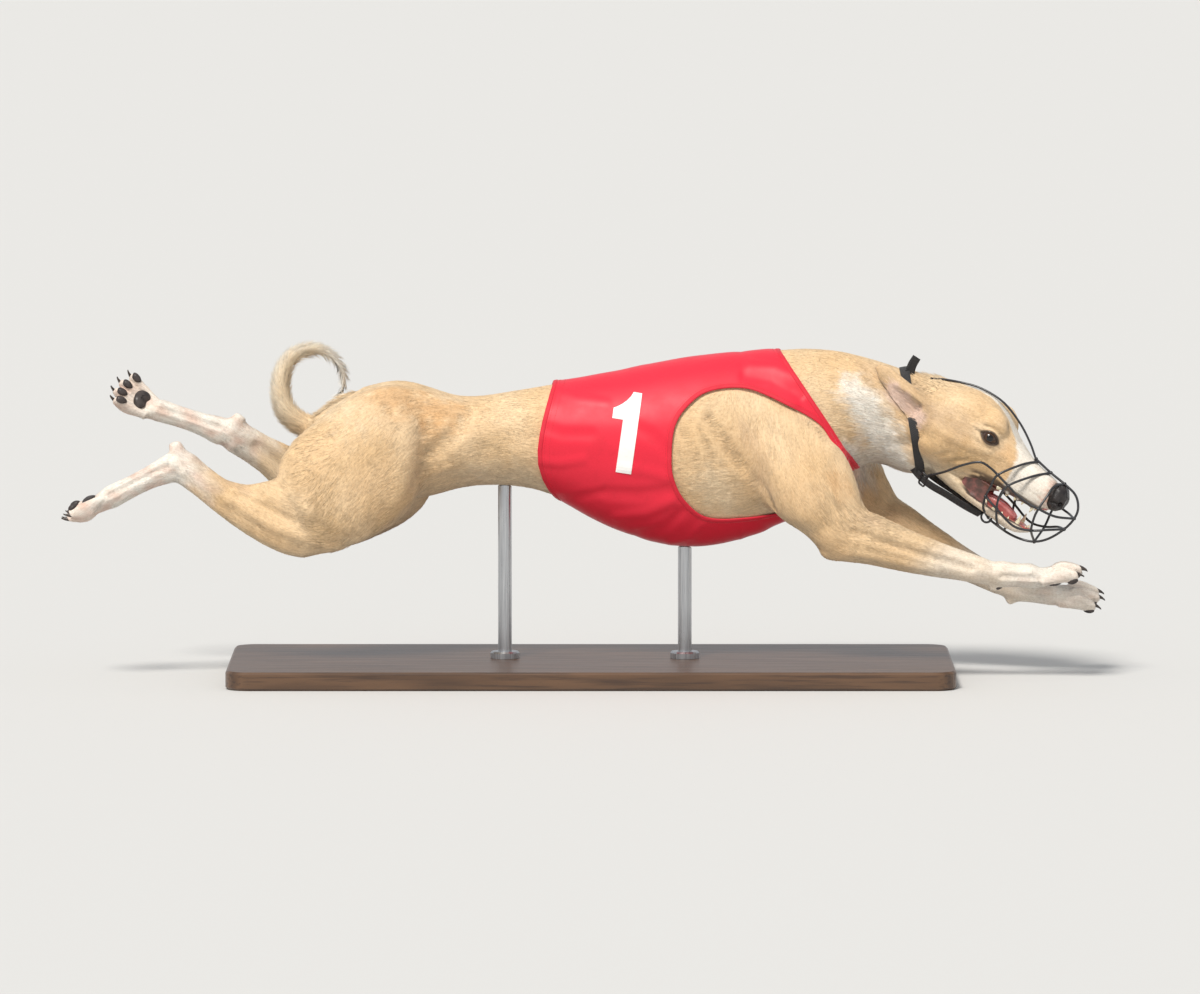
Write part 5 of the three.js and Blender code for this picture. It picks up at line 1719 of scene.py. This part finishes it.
def cloth_material(name, deep, bright, pitch, gloss, dirt):
    """Fine knitted or woven stuff: rows and wales of thread, with wear and soil."""
    material, start = new_material(name)
    thread = attribute(start, "weave", "Vector")
    waves = [
        start.node("TexWave", {"bands_direction": way}, {"Vector": thread, "Scale": 0.314 / pitch}, output=k)
        for k, way in enumerate("XY")
    ]
    uneven = noise(places(start), 45.0, 4.0)
    fluff = noise(places(start), 900.0, 2.0)
    height = waves[0] * waves[1]
    colour = blended(deep, bright, height * 0.5 + fluff * 0.5)
    colour = blended(colour, dirt, uneven.between(0.55, 0.80) * 0.30)
    finish_material(
        material, Base_Color=colour, Roughness=uneven * 0.2 + gloss,
        Normal=bumped(height + fluff * 0.4, 0.35, 0.0005),
        Sheen_Weight=0.25, Sheen_Roughness=0.35, Specular_IOR_Level=0.4,
    )
    return material


def thread_material(name, dark, light, twist_size):
    material, start = new_material(name)
    twist = noise(places(start), twist_size, 2.0)
    finish_material(
        material, Base_Color=blended(dark, light, twist), Roughness=twist * 0.3 + 0.4,
        Normal=bumped(twist, 0.3, 0.0002),
    )
    return material


knit = cloth_material(
    "red_stretch_knit", (0.66, 0.008, 0.028), (0.97, 0.034, 0.078), 0.0011, 0.40, (0.48, 0.012, 0.025)
)
binding = cloth_material(
    "red_binding", (0.54, 0.007, 0.022), (0.84, 0.024, 0.058), 0.0009, 0.5, (0.4, 0.01, 0.02)
)
dressed(vest, knit, "vest", "racing_vest")
dressed(edging, binding, "vest")
dressed(stitches, thread_material("red_thread", (0.36, 0.006, 0.014), (0.66, 0.03, 0.05), 2200.0), "vest")


# Number
# A plain white figure 1 on each side of the vest, cut from matt stretch film and pressed on.

FIGURE_HEIGHT, FIGURE_STEM, FIGURE_FLAG, FIGURE_FILM = 104, 20, 14, 0.0006
FIGURE_PLACE = {RIGHT: (0.032, 0.274), LEFT: (0.064, 0.274)}
FIGURE_LEAN = math.radians(8)


def figure_outline():
    """The figure's outline in millimetres, from its foot round its stem and the bent flag at its top."""
    flag = [(9, 0), (5, -12), (-8, -20), (-FIGURE_FLAG, -23)]
    p = np.array([(x, FIGURE_HEIGHT + z) for x, z in flag], float)
    curve = [
        (1 - t) ** 3 * p[0] + 3 * (1 - t) ** 2 * t * p[1] + 3 * (1 - t) * t**2 * p[2] + t**3 * p[3]
        for t in np.linspace(0.12, 1, 10)
    ]
    flag_foot = FIGURE_HEIGHT - 36
    stem = [(0, 0), (FIGURE_STEM, 0), (FIGURE_STEM, FIGURE_HEIGHT), (FIGURE_STEM - 11, FIGURE_HEIGHT)]
    return stem + curve + [(-FIGURE_FLAG, flag_foot), (0, flag_foot)]


film, start = new_material("white_film")
place = places(start)
rubbed = noise(place, 60.0, 5.0)
knit_under = noise(place, 1100.0, 2.0)
film_colour = blended((0.86, 0.85, 0.82), (0.66, 0.61, 0.58), rubbed.between(0.50, 0.78) * 0.6)
finish_material(
    film, Base_Color=film_colour, Roughness=rubbed * 0.3 + 0.4,
    Normal=bumped(knit_under + rubbed * 0.5, 0.25, 0.0004),
)
for name, side in SIDES.items():
    shape = bmesh.new()
    face = shape.faces.new([shape.verts.new((x / 1000, 0, z / 1000)) for x, z in figure_outline()])
    bmesh.ops.triangulate(shape, faces=[face])
    cuts = [((x, 0, 0), (1, 0, 0)) for x in np.arange(-0.012, 0.020, 0.004)]
    cuts += [((0, 0, z), (0, 0, 1)) for z in np.arange(0.004, 0.104, 0.004)]
    for place, way in cuts:
        parts = shape.verts[:] + shape.edges[:] + shape.faces[:]
        bmesh.ops.bisect_plane(shape, geom=parts, plane_co=place, plane_no=way)
    bmesh.ops.remove_doubles(shape, verts=shape.verts, dist=0.00005)
    for vertex in shape.verts:
        x, _, z = vertex.co
        onward = x * math.cos(FIGURE_LEAN) + z * math.sin(FIGURE_LEAN)
        upward = z * math.cos(FIGURE_LEAN) - x * math.sin(FIGURE_LEAN)
        foot_x, foot_z = FIGURE_PLACE[side]
        vertex.co, _ = vest_side(foot_x - side * onward, foot_z + upward, side, 0.0002)
    figure = piece_from(shape, "figure_" + name)
    turned_out = read(figure, "normal")[:, 1].mean() * side > 0
    apply(figure, "SOLIDIFY", thickness=FIGURE_FILM, offset=1.0 if turned_out else -1.0)
    dressed(figure, film, "number", "number_" + name)


# Hair
# Short flat hair covers the skin in small solid tufts that overlap like thatch. It is finest on the
# face and paws, and longer on the tail, the throat, behind the thighs and under the ears.

HAIR_SEED = 23
TUFTS_A_PIECE = 48000
HAIR_SINK = 0.0004
# How far from the vest, from the neck band and from the eye's edge the hair begins.
FROM_VEST, FROM_BAND, FROM_LIDS = 0.0042, 0.0016, 2.1
# Longer hair: line in millimetres, its reach, extra length and extra lift.
LONGER_HAIR = [
    ([(-352, 56, 300), (-356, 80, 258), (-340, 86, 215)], 30, 7, 2.0),
    ([(-262, 86, 196), (-240, 88, 190)], 22, 4, 0.6),
    ([(298, 84, 240), (330, 86, 216), (380, 88, 210)], 22, 4, 1.0),
    ([(340, 20, 268), (390, 20, 268), (420, 18, 268)], 30, 5, 1.2),
    ([(360, 58, 350), (392, 50, 330)], 30, 4, 1.0),
    ([(452, 14, 392), (436, 18, 396)], 20, 5, 2.2),
]
HEAD_LONGER_HAIR = [
    ([(14, 50, -4), (0, 50, -12), (-12, 46, -16)], 14, 8, 2.4),
    ([(-4, 30, 46), (8, 22, 54)], 14, 5, 1.8),
]

vest_tree, strap_tree = tree_of(vest), tree_of(nodes["muzzle_strap"])


def hair_measures(points):
    """Length, lift of the tip, and the distance to the next tuft."""
    local = in_head(points)
    head = smoothly(past_strap(points), 0.0, 0.02)
    face = smoothly(local[:, 0], 0.02, 0.20)
    legs = 1 - smoothly(nearest_leg(points), 0.028, 0.055)
    paws = 1 - smoothly(paw_distance(points), 0.050, 0.080)
    tail = 1 - smoothly(gap_to(points, TAIL_LINE[2:]), 0.020, 0.026)
    length, lift = np.full(len(points), 0.0100), np.full(len(points), 0.00065)
    spacing = np.full(len(points), 0.0026)
    kinds = (
        (legs, 0.0070, 0.0006, 0.0021), (head, 0.0062, 0.0005, 0.0018),
        (head * face, 0.0032, 0.00028, 0.0014), (paws, 0.0040, 0.0004, 0.0015),
        (tail, 0.0170, 0.0062, 0.00135),
    )
    for share, new_length, new_lift, new_spacing in kinds:
        length += (new_length - length) * share
        lift += (new_lift - lift) * share
        spacing += (new_spacing - spacing) * share
    for side in BOTH:
        for at, kept, rows in ((points, 1.0, LONGER_HAIR), (local, head, HEAD_LONGER_HAIR)):
            for line, reach, extra, rise in rows:
                share = near_line(at, mirrored(line, side), reach / 1000, reach / 1400) * kept
                length += share * extra / 1000
                lift += share * rise / 1000
    return length, lift, spacing


def bare_places(points, normals):
    """Where no hair grows: under the vest and straps, in the mouth, at the eyes, nose and pads."""
    local = in_head(points)
    bare_skin_and_heel_shade = nearest_gap(vest_tree, points) < FROM_VEST
    bare_skin_and_heel_shade |= nearest_gap(strap_tree, points) < FROM_BAND
    bare_skin_and_heel_shade |= nearest_lid(local) < FROM_LIDS
    bare_skin_and_heel_shade |= (local[:, 0] > 0.202) & (local[:, 2] > -0.012)
    wet, lips = mouth_shares(local, normals @ HEAD_TURNED[:3, :3])
    return bare_skin_and_heel_shade | (wet + lips > 0.2)


def grow_hair(ob, name, chance):
    """Scatters roots over a skin and grows a tuft on each: a ridge between two low corners and a tip."""
    mesh = ob.data
    mesh.calc_loop_triangles()
    triangles = np.zeros(len(mesh.loop_triangles) * 3, np.int32)
    mesh.loop_triangles.foreach_get("vertices", triangles)
    triangles = triangles.reshape(-1, 3)
    points, normals = read(ob), read(ob, "normal")
    corners = points[triangles]
    area = np.linalg.norm(np.cross(corners[:, 1] - corners[:, 0], corners[:, 2] - corners[:, 0]), axis=1) / 2
    spacing = hair_measures(corners.mean(axis=1))[2]
    chosen = np.flatnonzero(chance.random(len(area)) < area / spacing**2)
    shares = chance.dirichlet((1, 1, 1), len(chosen))
    roots = np.einsum("ij,ijk->ik", shares, corners[chosen])
    up = unit(np.einsum("ij,ijk->ik", shares, normals[triangles[chosen]]))
    keep = ~bare_places(roots, up)
    roots, up = roots[keep], up[keep]
    length, lift, _ = hair_measures(roots)
    lie, unwrap = lie_of_coat(roots, up)
    side = np.cross(up, lie)
    turn = chance.normal(0, 0.16, len(roots))[:, None] + 0.22 * mottle(roots, 0.03, 31)[:, None]
    lie = unit(lie + side * turn)
    side = np.cross(up, lie)
    length = length * chance.uniform(0.75, 1.25, len(roots))
    lift = lift * chance.uniform(0.5, 1.5, len(roots))
    tree = tree_of(ob)
    tips, tip_up = roots + lie * length[:, None], up.copy()
    for k in range(len(tips)):
        found, normal, _, _ = tree.find_nearest(Vector(tips[k]))
        tips[k] = np.array(found) + np.array(normal) * lift[k]
        tip_up[k] = normal
    width = np.minimum(0.0004 + 0.062 * length, 0.00105)[:, None]
    low = roots - up * HAIR_SINK
    corners = np.stack([
        low - side * width / 2, low + side * width / 2, roots + up * width * 0.30 - lie * width * 0.3, tips,
    ], axis=1)
    shading = unit(np.stack([up - 0.30 * side, up + 0.30 * side, up, tip_up], axis=1).reshape(-1, 3))
    colours = coat_colours(roots, up)
    tint = 1 + 0.10 * chance.normal(size=len(roots)) + 0.07 * mottle(roots, 0.02, 33)
    shades = np.stack([colours * (tint * share)[:, None] for share in (0.92, 0.92, 1.0, 1.05)], axis=1)
    shades[:, 3] += 0.02
    tuft_colours = np.clip(shades, 0, 1)
    faces = np.array([(0, 2, 1), (0, 1, 3), (1, 2, 3), (2, 0, 3)])
    patch = np.array([(-0.0012, 0), (0.0012, 0), (0, 0.0008), (0, 0.0026)])

    count = max(1, math.ceil(len(roots) / TUFTS_A_PIECE))
    order = np.array_split(np.argsort(roots[:, 0], kind="stable"), count)
    for number, members in enumerate(order, 1):
        ring = (faces[None] + 4 * np.arange(len(members))[:, None, None]).reshape(-1, 3)
        mesh = bpy.data.meshes.new(f"{name}_{number}")
        mesh.vertices.add(len(members) * 4)
        mesh.vertices.foreach_set("co", corners[members].astype(np.float32).ravel())
        mesh.loops.add(ring.size)
        mesh.loops.foreach_set("vertex_index", ring.astype(np.int32).ravel())
        mesh.polygons.add(len(ring))
        mesh.polygons.foreach_set("loop_start", np.arange(0, ring.size, 3, dtype=np.int32))
        mesh.polygons.foreach_set("use_smooth", [True] * len(ring))
        mesh.update(calc_edges=True)
        layer = mesh.uv_layers.new(name="OFBake")
        on_patch = np.clip(unwrap[members][:, None] + patch[None], 0.001, 0.999).reshape(-1, 2)
        layer.data.foreach_set("uv", on_patch[ring.ravel()].astype(np.float32).ravel())
        piece = new_piece(mesh, f"{name}_{number}")
        set_colours(piece, "coat", tuft_colours[members].reshape(-1, 3))
        mesh.normals_split_custom_set_from_vertices(shading.reshape(-1, 4, 3)[members].reshape(-1, 3))
        dressed(piece, hair_material, "coat")


hair_material, start = new_material("hair_tufts")
shades = noise(places(start), 300.0, 2.0)
coat = attribute(start, "coat")
hair_colour = blended(coat, (0.72, 0.64, 0.54), shades.between(0.45, 0.70) * 0.45, "MULTIPLY")
finish_material(
    hair_material, Base_Color=hair_colour, Roughness=shades * 0.25 + 0.5, Specular_IOR_Level=0.3,
    Sheen_Weight=0.25, Sheen_Roughness=0.4, Sheen_Tint=(1.0, 0.94, 0.84, 1),
)
chance = np.random.default_rng(HAIR_SEED)
grow_hair(rear_skin, "hair_rear", chance)
grow_hair(skin, "hair_fore", chance)
grow_hair(head_skin, "hair_head", chance)

# Muzzle straps
# Black woven webbing: a band round the neck behind the ears, two straps from it along the jaw to the
# basket's ring, a free end that stands up at the poll, and a wire keeper where they meet.

WEBBING_WIDTH, WEBBING_THICKNESS = 0.0122, 0.0018
BAND_RAY = 0.15
BAND_CLEAR = 0.0012
STRAP_CENTRE = np.array((0.417, -0.003, 0.334))
STRAP_UP = np.array((-math.sin(STRAP_LEAN), 0, math.cos(STRAP_LEAN)))
CHIN_STRAP = [(32, 20, -58), (50, 23, -62), (68, 25, -63), (92, 22, -62), (119, 13, -63), (139, 3.5, -63)]
FREE_END = [(408, -16.5, 381), (412.5, -18, 396), (416.5, -18.5, 408), (422.5, -17.5, 418)]

neck_form = merged(["neck", "head", "lower_jaw"], "neck_form")
neck_form_tree = tree_of(neck_form)
bpy.data.objects.remove(neck_form)
round_angles = np.linspace(0, 2 * math.pi, 160, endpoint=False)
outwards = np.outer(np.cos(round_angles), STRAP_UP) + np.outer(np.sin(round_angles), (0, 1, 0))
reach = []
for away in outwards * BAND_RAY:
    found = neck_form_tree.ray_cast(Vector(STRAP_CENTRE + away), Vector(-away), BAND_RAY)
    reach.append(BAND_RAY - found[3] if found[0] is not None else np.nan)
reach = np.array(reach)
known = ~np.isnan(reach)
reach = np.interp(round_angles, round_angles[known], reach[known], period=2 * math.pi)
for _ in range(8):
    reach = np.maximum((np.roll(reach, 1) + 2 * reach + np.roll(reach, -1)) / 4, reach - 0.0002)
band_line = STRAP_CENTRE + outwards * (reach + BAND_CLEAR)[:, None]
straps = [add_band("neck_band", band_line, outwards, WEBBING_WIDTH, WEBBING_THICKNESS, closed=True)]
seams = []
for side in BOTH:
    line = from_head(smooth_line(mirrored(CHIN_STRAP, side) / 1000, 12))
    flat = np.tile(HEAD_TURNED[:3, :3] @ unit(np.array((0, side * 0.86, -0.5))), (len(line), 1))
    straps.append(add_band("jaw_strap", line, flat, WEBBING_WIDTH, WEBBING_THICKNESS))
    seams.append((line[-14:-2] + flat[-14:-2] * WEBBING_THICKNESS * 0.62, flat))
free_line = smooth_line(FREE_END, 10) / 1000
free_flat = np.tile(unit(np.array((0.30, -0.95, 0.05))), (len(free_line), 1))
free_flat = unit(free_flat + np.outer(np.linspace(-0.25, 0.35, len(free_line)), (1, 0, 0)))
straps.append(add_band("free_end", free_line, free_flat, WEBBING_WIDTH * 1.08, WEBBING_THICKNESS))
webbing = joined(straps, "webbing_straps")


def webbing_material():
    """Ribbed black webbing: slanted ribs of thick thread, dusty where it is rubbed."""
    material, start = new_material("black_webbing")
    thread = attribute(start, "weave", "Vector")
    ribs = []
    for k, turn in enumerate((0.6, -0.6)):
        turned = start.node("Mapping", {}, {"Vector": thread, "Rotation": (0, 0, turn)})
        ribs.append(start.node("TexWave", {}, {"Vector": turned, "Scale": 150.0}, k))
    dust = noise(places(start), 160.0, 4.0)
    fluff = noise(places(start), 1500.0, 2.0)
    height = ribs[0] * 0.5 + ribs[1] * 0.5
    colour = blended((0.006, 0.006, 0.007), (0.035, 0.034, 0.036), height * 0.6 + fluff * 0.4)
    colour = blended(colour, (0.085, 0.078, 0.068), dust.between(0.55, 0.80) * 0.5)
    finish_material(
        material, Base_Color=colour, Roughness=dust * 0.2 + 0.55, Sheen_Weight=0.2, Sheen_Roughness=0.4,
        Normal=bumped(height + fluff * 0.3, 0.8, 0.0008),
    )
    return material


dressed(webbing, webbing_material(), "webbing", "muzzle_strap")
strap_thread = thread_material("dark_thread", (0.010, 0.010, 0.011), (0.07, 0.068, 0.066), 2400.0)
dressed(add_stitches("strap_stitches", seams, 0.0026, 0.0020, 0.0008), strap_thread, "webbing")


# Muzzle basket
# Spring wire, bent to shape, welded where the wires cross, and dipped in black. A keel runs over the
# nose and under the chin, with three hoops and two side wires, a cheek wire and a long brow wire.

WIRE_RADIUS, WELD_RADIUS = 0.00160, 0.0026
KEEL = [
    (164, 0, 39), (190, 0, 35), (213, 0, 33), (233, 0, 29), (245, 0, 17), (248, 0, 2),
    (244, 0, -17), (233, 0, -39), (219, 0, -53), (201, 0, -60.5), (180, 0, -63.5), (153, 0, -62.5),
]
SIDE_WIRES = [
    [
        (168, 0, 38), (157, 24, 28), (141, 42, 3), (141, 42, -16), (141, 37, -31), (144, 26, -48),
        (151, 0, -62),
    ],
    [
        (190, 0, 35), (177, 23, 23), (160, 42, -1), (158, 42, -20), (162, 38, -36), (171, 28, -54),
        (177, 0, -63.5),
    ],
    [
        (213, 0, 33), (207, 18, 26), (208, 28, 14), (209, 37, -5), (210, 36, -18), (214, 29, -36),
        (219, 0, -53),
    ],
    [(141, 42, 3), (160, 42, -1), (176, 41, -5), (195, 39, -6), (209, 37, -5), (231, 28, -3), (248, 0, 2)],
    [(141, 37, -31), (162, 38, -36), (192, 35, -43), (214, 29, -36), (230, 24, -25), (244, 0, -17)],
    [(141, 42, 3), (128, 45, 6), (113, 49, 5), (96, 50, -11), (80, 44, -32), (58, 29, -56)],
]
BROW_WIRE = [
    (172, 0, 37.5), (164, 0, 39), (148, 0, 51), (128, 0, 63), (109, 0, 71), (90, 0, 76.5),
    (71, 0, 77.5), (48, 0, 74.5), (27, -1, 67.5), (8, -7, 60), (-8, -15, 52),
]
RING_PLACE, RING_RADIUS = (0.148, 0, -0.062), 0.007
KEEPER_PLACE, KEEPER_LENGTH, KEEPER_WIDTH = (56, -24.6, -62.4), 0.020, 0.009


def add_wire(name, line, radius, closed=False):
    """Round wire along a line of places, from a curve with a round edge."""
    curve = bpy.data.curves.new(name, "CURVE")
    curve.dimensions = "3D"
    curve.bevel_depth = radius
    curve.bevel_resolution = 3
    curve.use_fill_caps = True
    spline = curve.splines.new("POLY")
    spline.points.add(len(line) - 1)
    spline.use_cyclic_u = closed
    for place, point in zip(line, spline.points):
        point.co = (*place, 1)
    select_only(new_piece(curve, name))
    bpy.ops.object.convert(target="MESH")
    bpy.ops.object.shade_smooth()
    return bpy.context.object


def add_weld(place):
    """A blob of weld where two wires cross."""
    bpy.ops.mesh.primitive_ico_sphere_add(subdivisions=2, radius=WELD_RADIUS)
    blob = bpy.context.object
    ball = read(blob)
    ball *= (1 + 0.16 * mottle(ball * 400, 2.2, int(place[0]) + 90))[:, None]
    write(blob, from_head(ball + np.array(place) / 1000))
    smooth(blob)
    return blob


bent_wires = [(KEEL, WIRE_RADIUS), (BROW_WIRE, WIRE_RADIUS * 0.9)]
bent_wires += [(mirrored(line, side), WIRE_RADIUS) for side in BOTH for line in SIDE_WIRES]
wires = [add_wire("wire", from_head(smooth_line(line, 8) / 1000), radius) for line, radius in bent_wires]
crossings = [p for line in SIDE_WIRES for p in line] + KEEL
welded = sorted({p for p in crossings if crossings.count(p) > 1} | {KEEL[0]})
for x, y, z in welded:
    for side in BOTH[: 2 if y else 1]:
        wires.append(add_weld((x, y * side, z)))

bpy.ops.mesh.primitive_torus_add(
    major_radius=RING_RADIUS, minor_radius=WIRE_RADIUS * 0.9, major_segments=40, minor_segments=12,
    rotation=(math.pi / 2, 0, 0),
)
bpy.ops.object.transform_apply(location=True, rotation=True, scale=True)
ring_wire = bpy.context.object
write(ring_wire, from_head(read(ring_wire) + np.array(RING_PLACE)))
smooth(ring_wire)
wires.append(ring_wire)

KEEPER_ALONG, KEEPER_ACROSS = unit(np.array([(1, 0, -0.08), (0, -0.5, 0.86)]))
KEEPER_CORNER = 0.35
turns_round = np.linspace(0, 2 * math.pi, 40, endpoint=False)
flat_x, flat_y = np.cos(turns_round), np.sin(turns_round)
flat_x = np.sign(flat_x) * abs(flat_x) ** KEEPER_CORNER * KEEPER_WIDTH / 2
flat_y = np.sign(flat_y) * abs(flat_y) ** KEEPER_CORNER * KEEPER_LENGTH / 2
keeper_line = np.array(KEEPER_PLACE) / 1000 + np.outer(flat_x, KEEPER_ALONG) + np.outer(flat_y, KEEPER_ACROSS)
wires.append(add_wire("keeper", from_head(keeper_line), WIRE_RADIUS * 0.8, closed=True))
basket = joined(wires, "wire_basket")

dipped, start = new_material("black_dipped_wire")
place = places(start)
worn = noise(place, 130.0, 5.0)
pitted = noise(place, 1400.0, 3.0)
wire_colour = blended((0.010, 0.010, 0.012), (0.035, 0.035, 0.040), pitted.between(0.35, 0.7))
wire_colour = blended(wire_colour, (0.11, 0.10, 0.095), worn.between(0.62, 0.76) * 0.7)
finish_material(
    dipped, Base_Color=wire_colour, Roughness=worn * 0.3 + 0.20, Metallic=worn.between(0.66, 0.80) * 0.7,
    Normal=bumped(pitted + worn * 0.5, 0.3, 0.0003), Coat_Weight=pitted * 0.5, Coat_Roughness=0.2,
)
dressed(basket, dipped, "wire", "muzzle_basket")


# Stand
# A flat base of dark oiled wood with softened edges, and two brushed steel rods, each in a collar,
# that carry the dog under its chest and loin.

wood, start = new_material("oiled_dark_wood")
fibres = noise(places(start, (9, 240, 240)), 1.0, 4.0, 0.6)
figure_of_wood = noise(places(start, (2.4, 20, 20)), 1.0, 4.0, 0.6)
rings_of_wood = start.node(
    "TexWave", {"bands_direction": "Y"}, {
        "Vector": places(start, (1.2, 9, 9)), "Scale": 2.2, "Distortion": 9.0, "Detail": 3.0,
        "Detail Scale": 1.2,
    },
)
pores = start.node("TexVoronoi", {}, {"Vector": places(start, (70, 900, 900)), "Scale": 1.0})
pores = 1 - pores.between(0.05, 0.16)
grain = figure_of_wood * 0.5 + rings_of_wood * 0.5
wood_colour = blended((0.050, 0.024, 0.012), (0.150, 0.078, 0.038), grain)
wood_colour = blended(wood_colour, (0.026, 0.012, 0.007), fibres.between(0.50, 0.66) * 0.6)
wood_colour = blended(wood_colour, (0.012, 0.006, 0.004), pores * 0.5)
finish_material(
    wood, Base_Color=wood_colour, Roughness=fibres * 0.25 + 0.28, Coat_Weight=fibres * 0.2 + 0.2,
    Coat_Roughness=0.25, Normal=bumped(fibres - pores * 0.6, 0.35, 0.0006),
)
steel, start = new_material("brushed_steel")
lines = noise(places(start, (700, 700, 14)), 1.0, 3.0)
hazes = noise(places(start), 24.0, 4.0)
steel_colour = blended((0.40, 0.41, 0.43), (0.66, 0.67, 0.68), lines.between(0.3, 0.7))
finish_material(
    steel, Base_Color=steel_colour, Metallic=1.0, Roughness=hazes * 0.16 + lines * 0.12 + 0.16,
    Normal=bumped(lines, 0.25, 0.0003),
)
for name, material in (("stand_base", wood), ("stand_rod_front", steel), ("stand_rod_rear", steel)):
    nodes[name].data.materials.clear()
    nodes[name].data.materials.append(material)


# Floor and lights
# A pale, even floor, soft sunlight from high on the camera's side, and an even light from all round.
# The picture's tones are left as they are.

bpy.ops.mesh.primitive_circle_add(vertices=96, radius=40, fill_type="NGON")
floor = bpy.context.object
floor.name = "floor"
floor_material, _ = new_material("pale_floor")
finish_material(floor_material, Base_Color=(0.64, 0.635, 0.62, 1), Roughness=0.9)
floor.data.materials.append(floor_material)

world = bpy.data.worlds.new("studio")
bpy.context.scene.world = world
world.use_nodes = True
background = world.node_tree.nodes["Background"]
background.inputs["Color"].default_value = (0.93, 0.96, 1.0, 1)
background.inputs["Strength"].default_value = 0.56

LIGHT_FROM = Vector((-0.35, -0.80, 1.05))
key = bpy.data.lights.new("soft_key", "SUN")
key.energy = 3.2
key.angle = math.radians(16)
key.color = (1.0, 0.965, 0.91)
key_lamp = new_piece(key, "soft_key")
key_lamp.rotation_euler = (-LIGHT_FROM).to_track_quat("-Z", "Y").to_euler()
bpy.context.scene.view_settings.view_transform = "Standard"
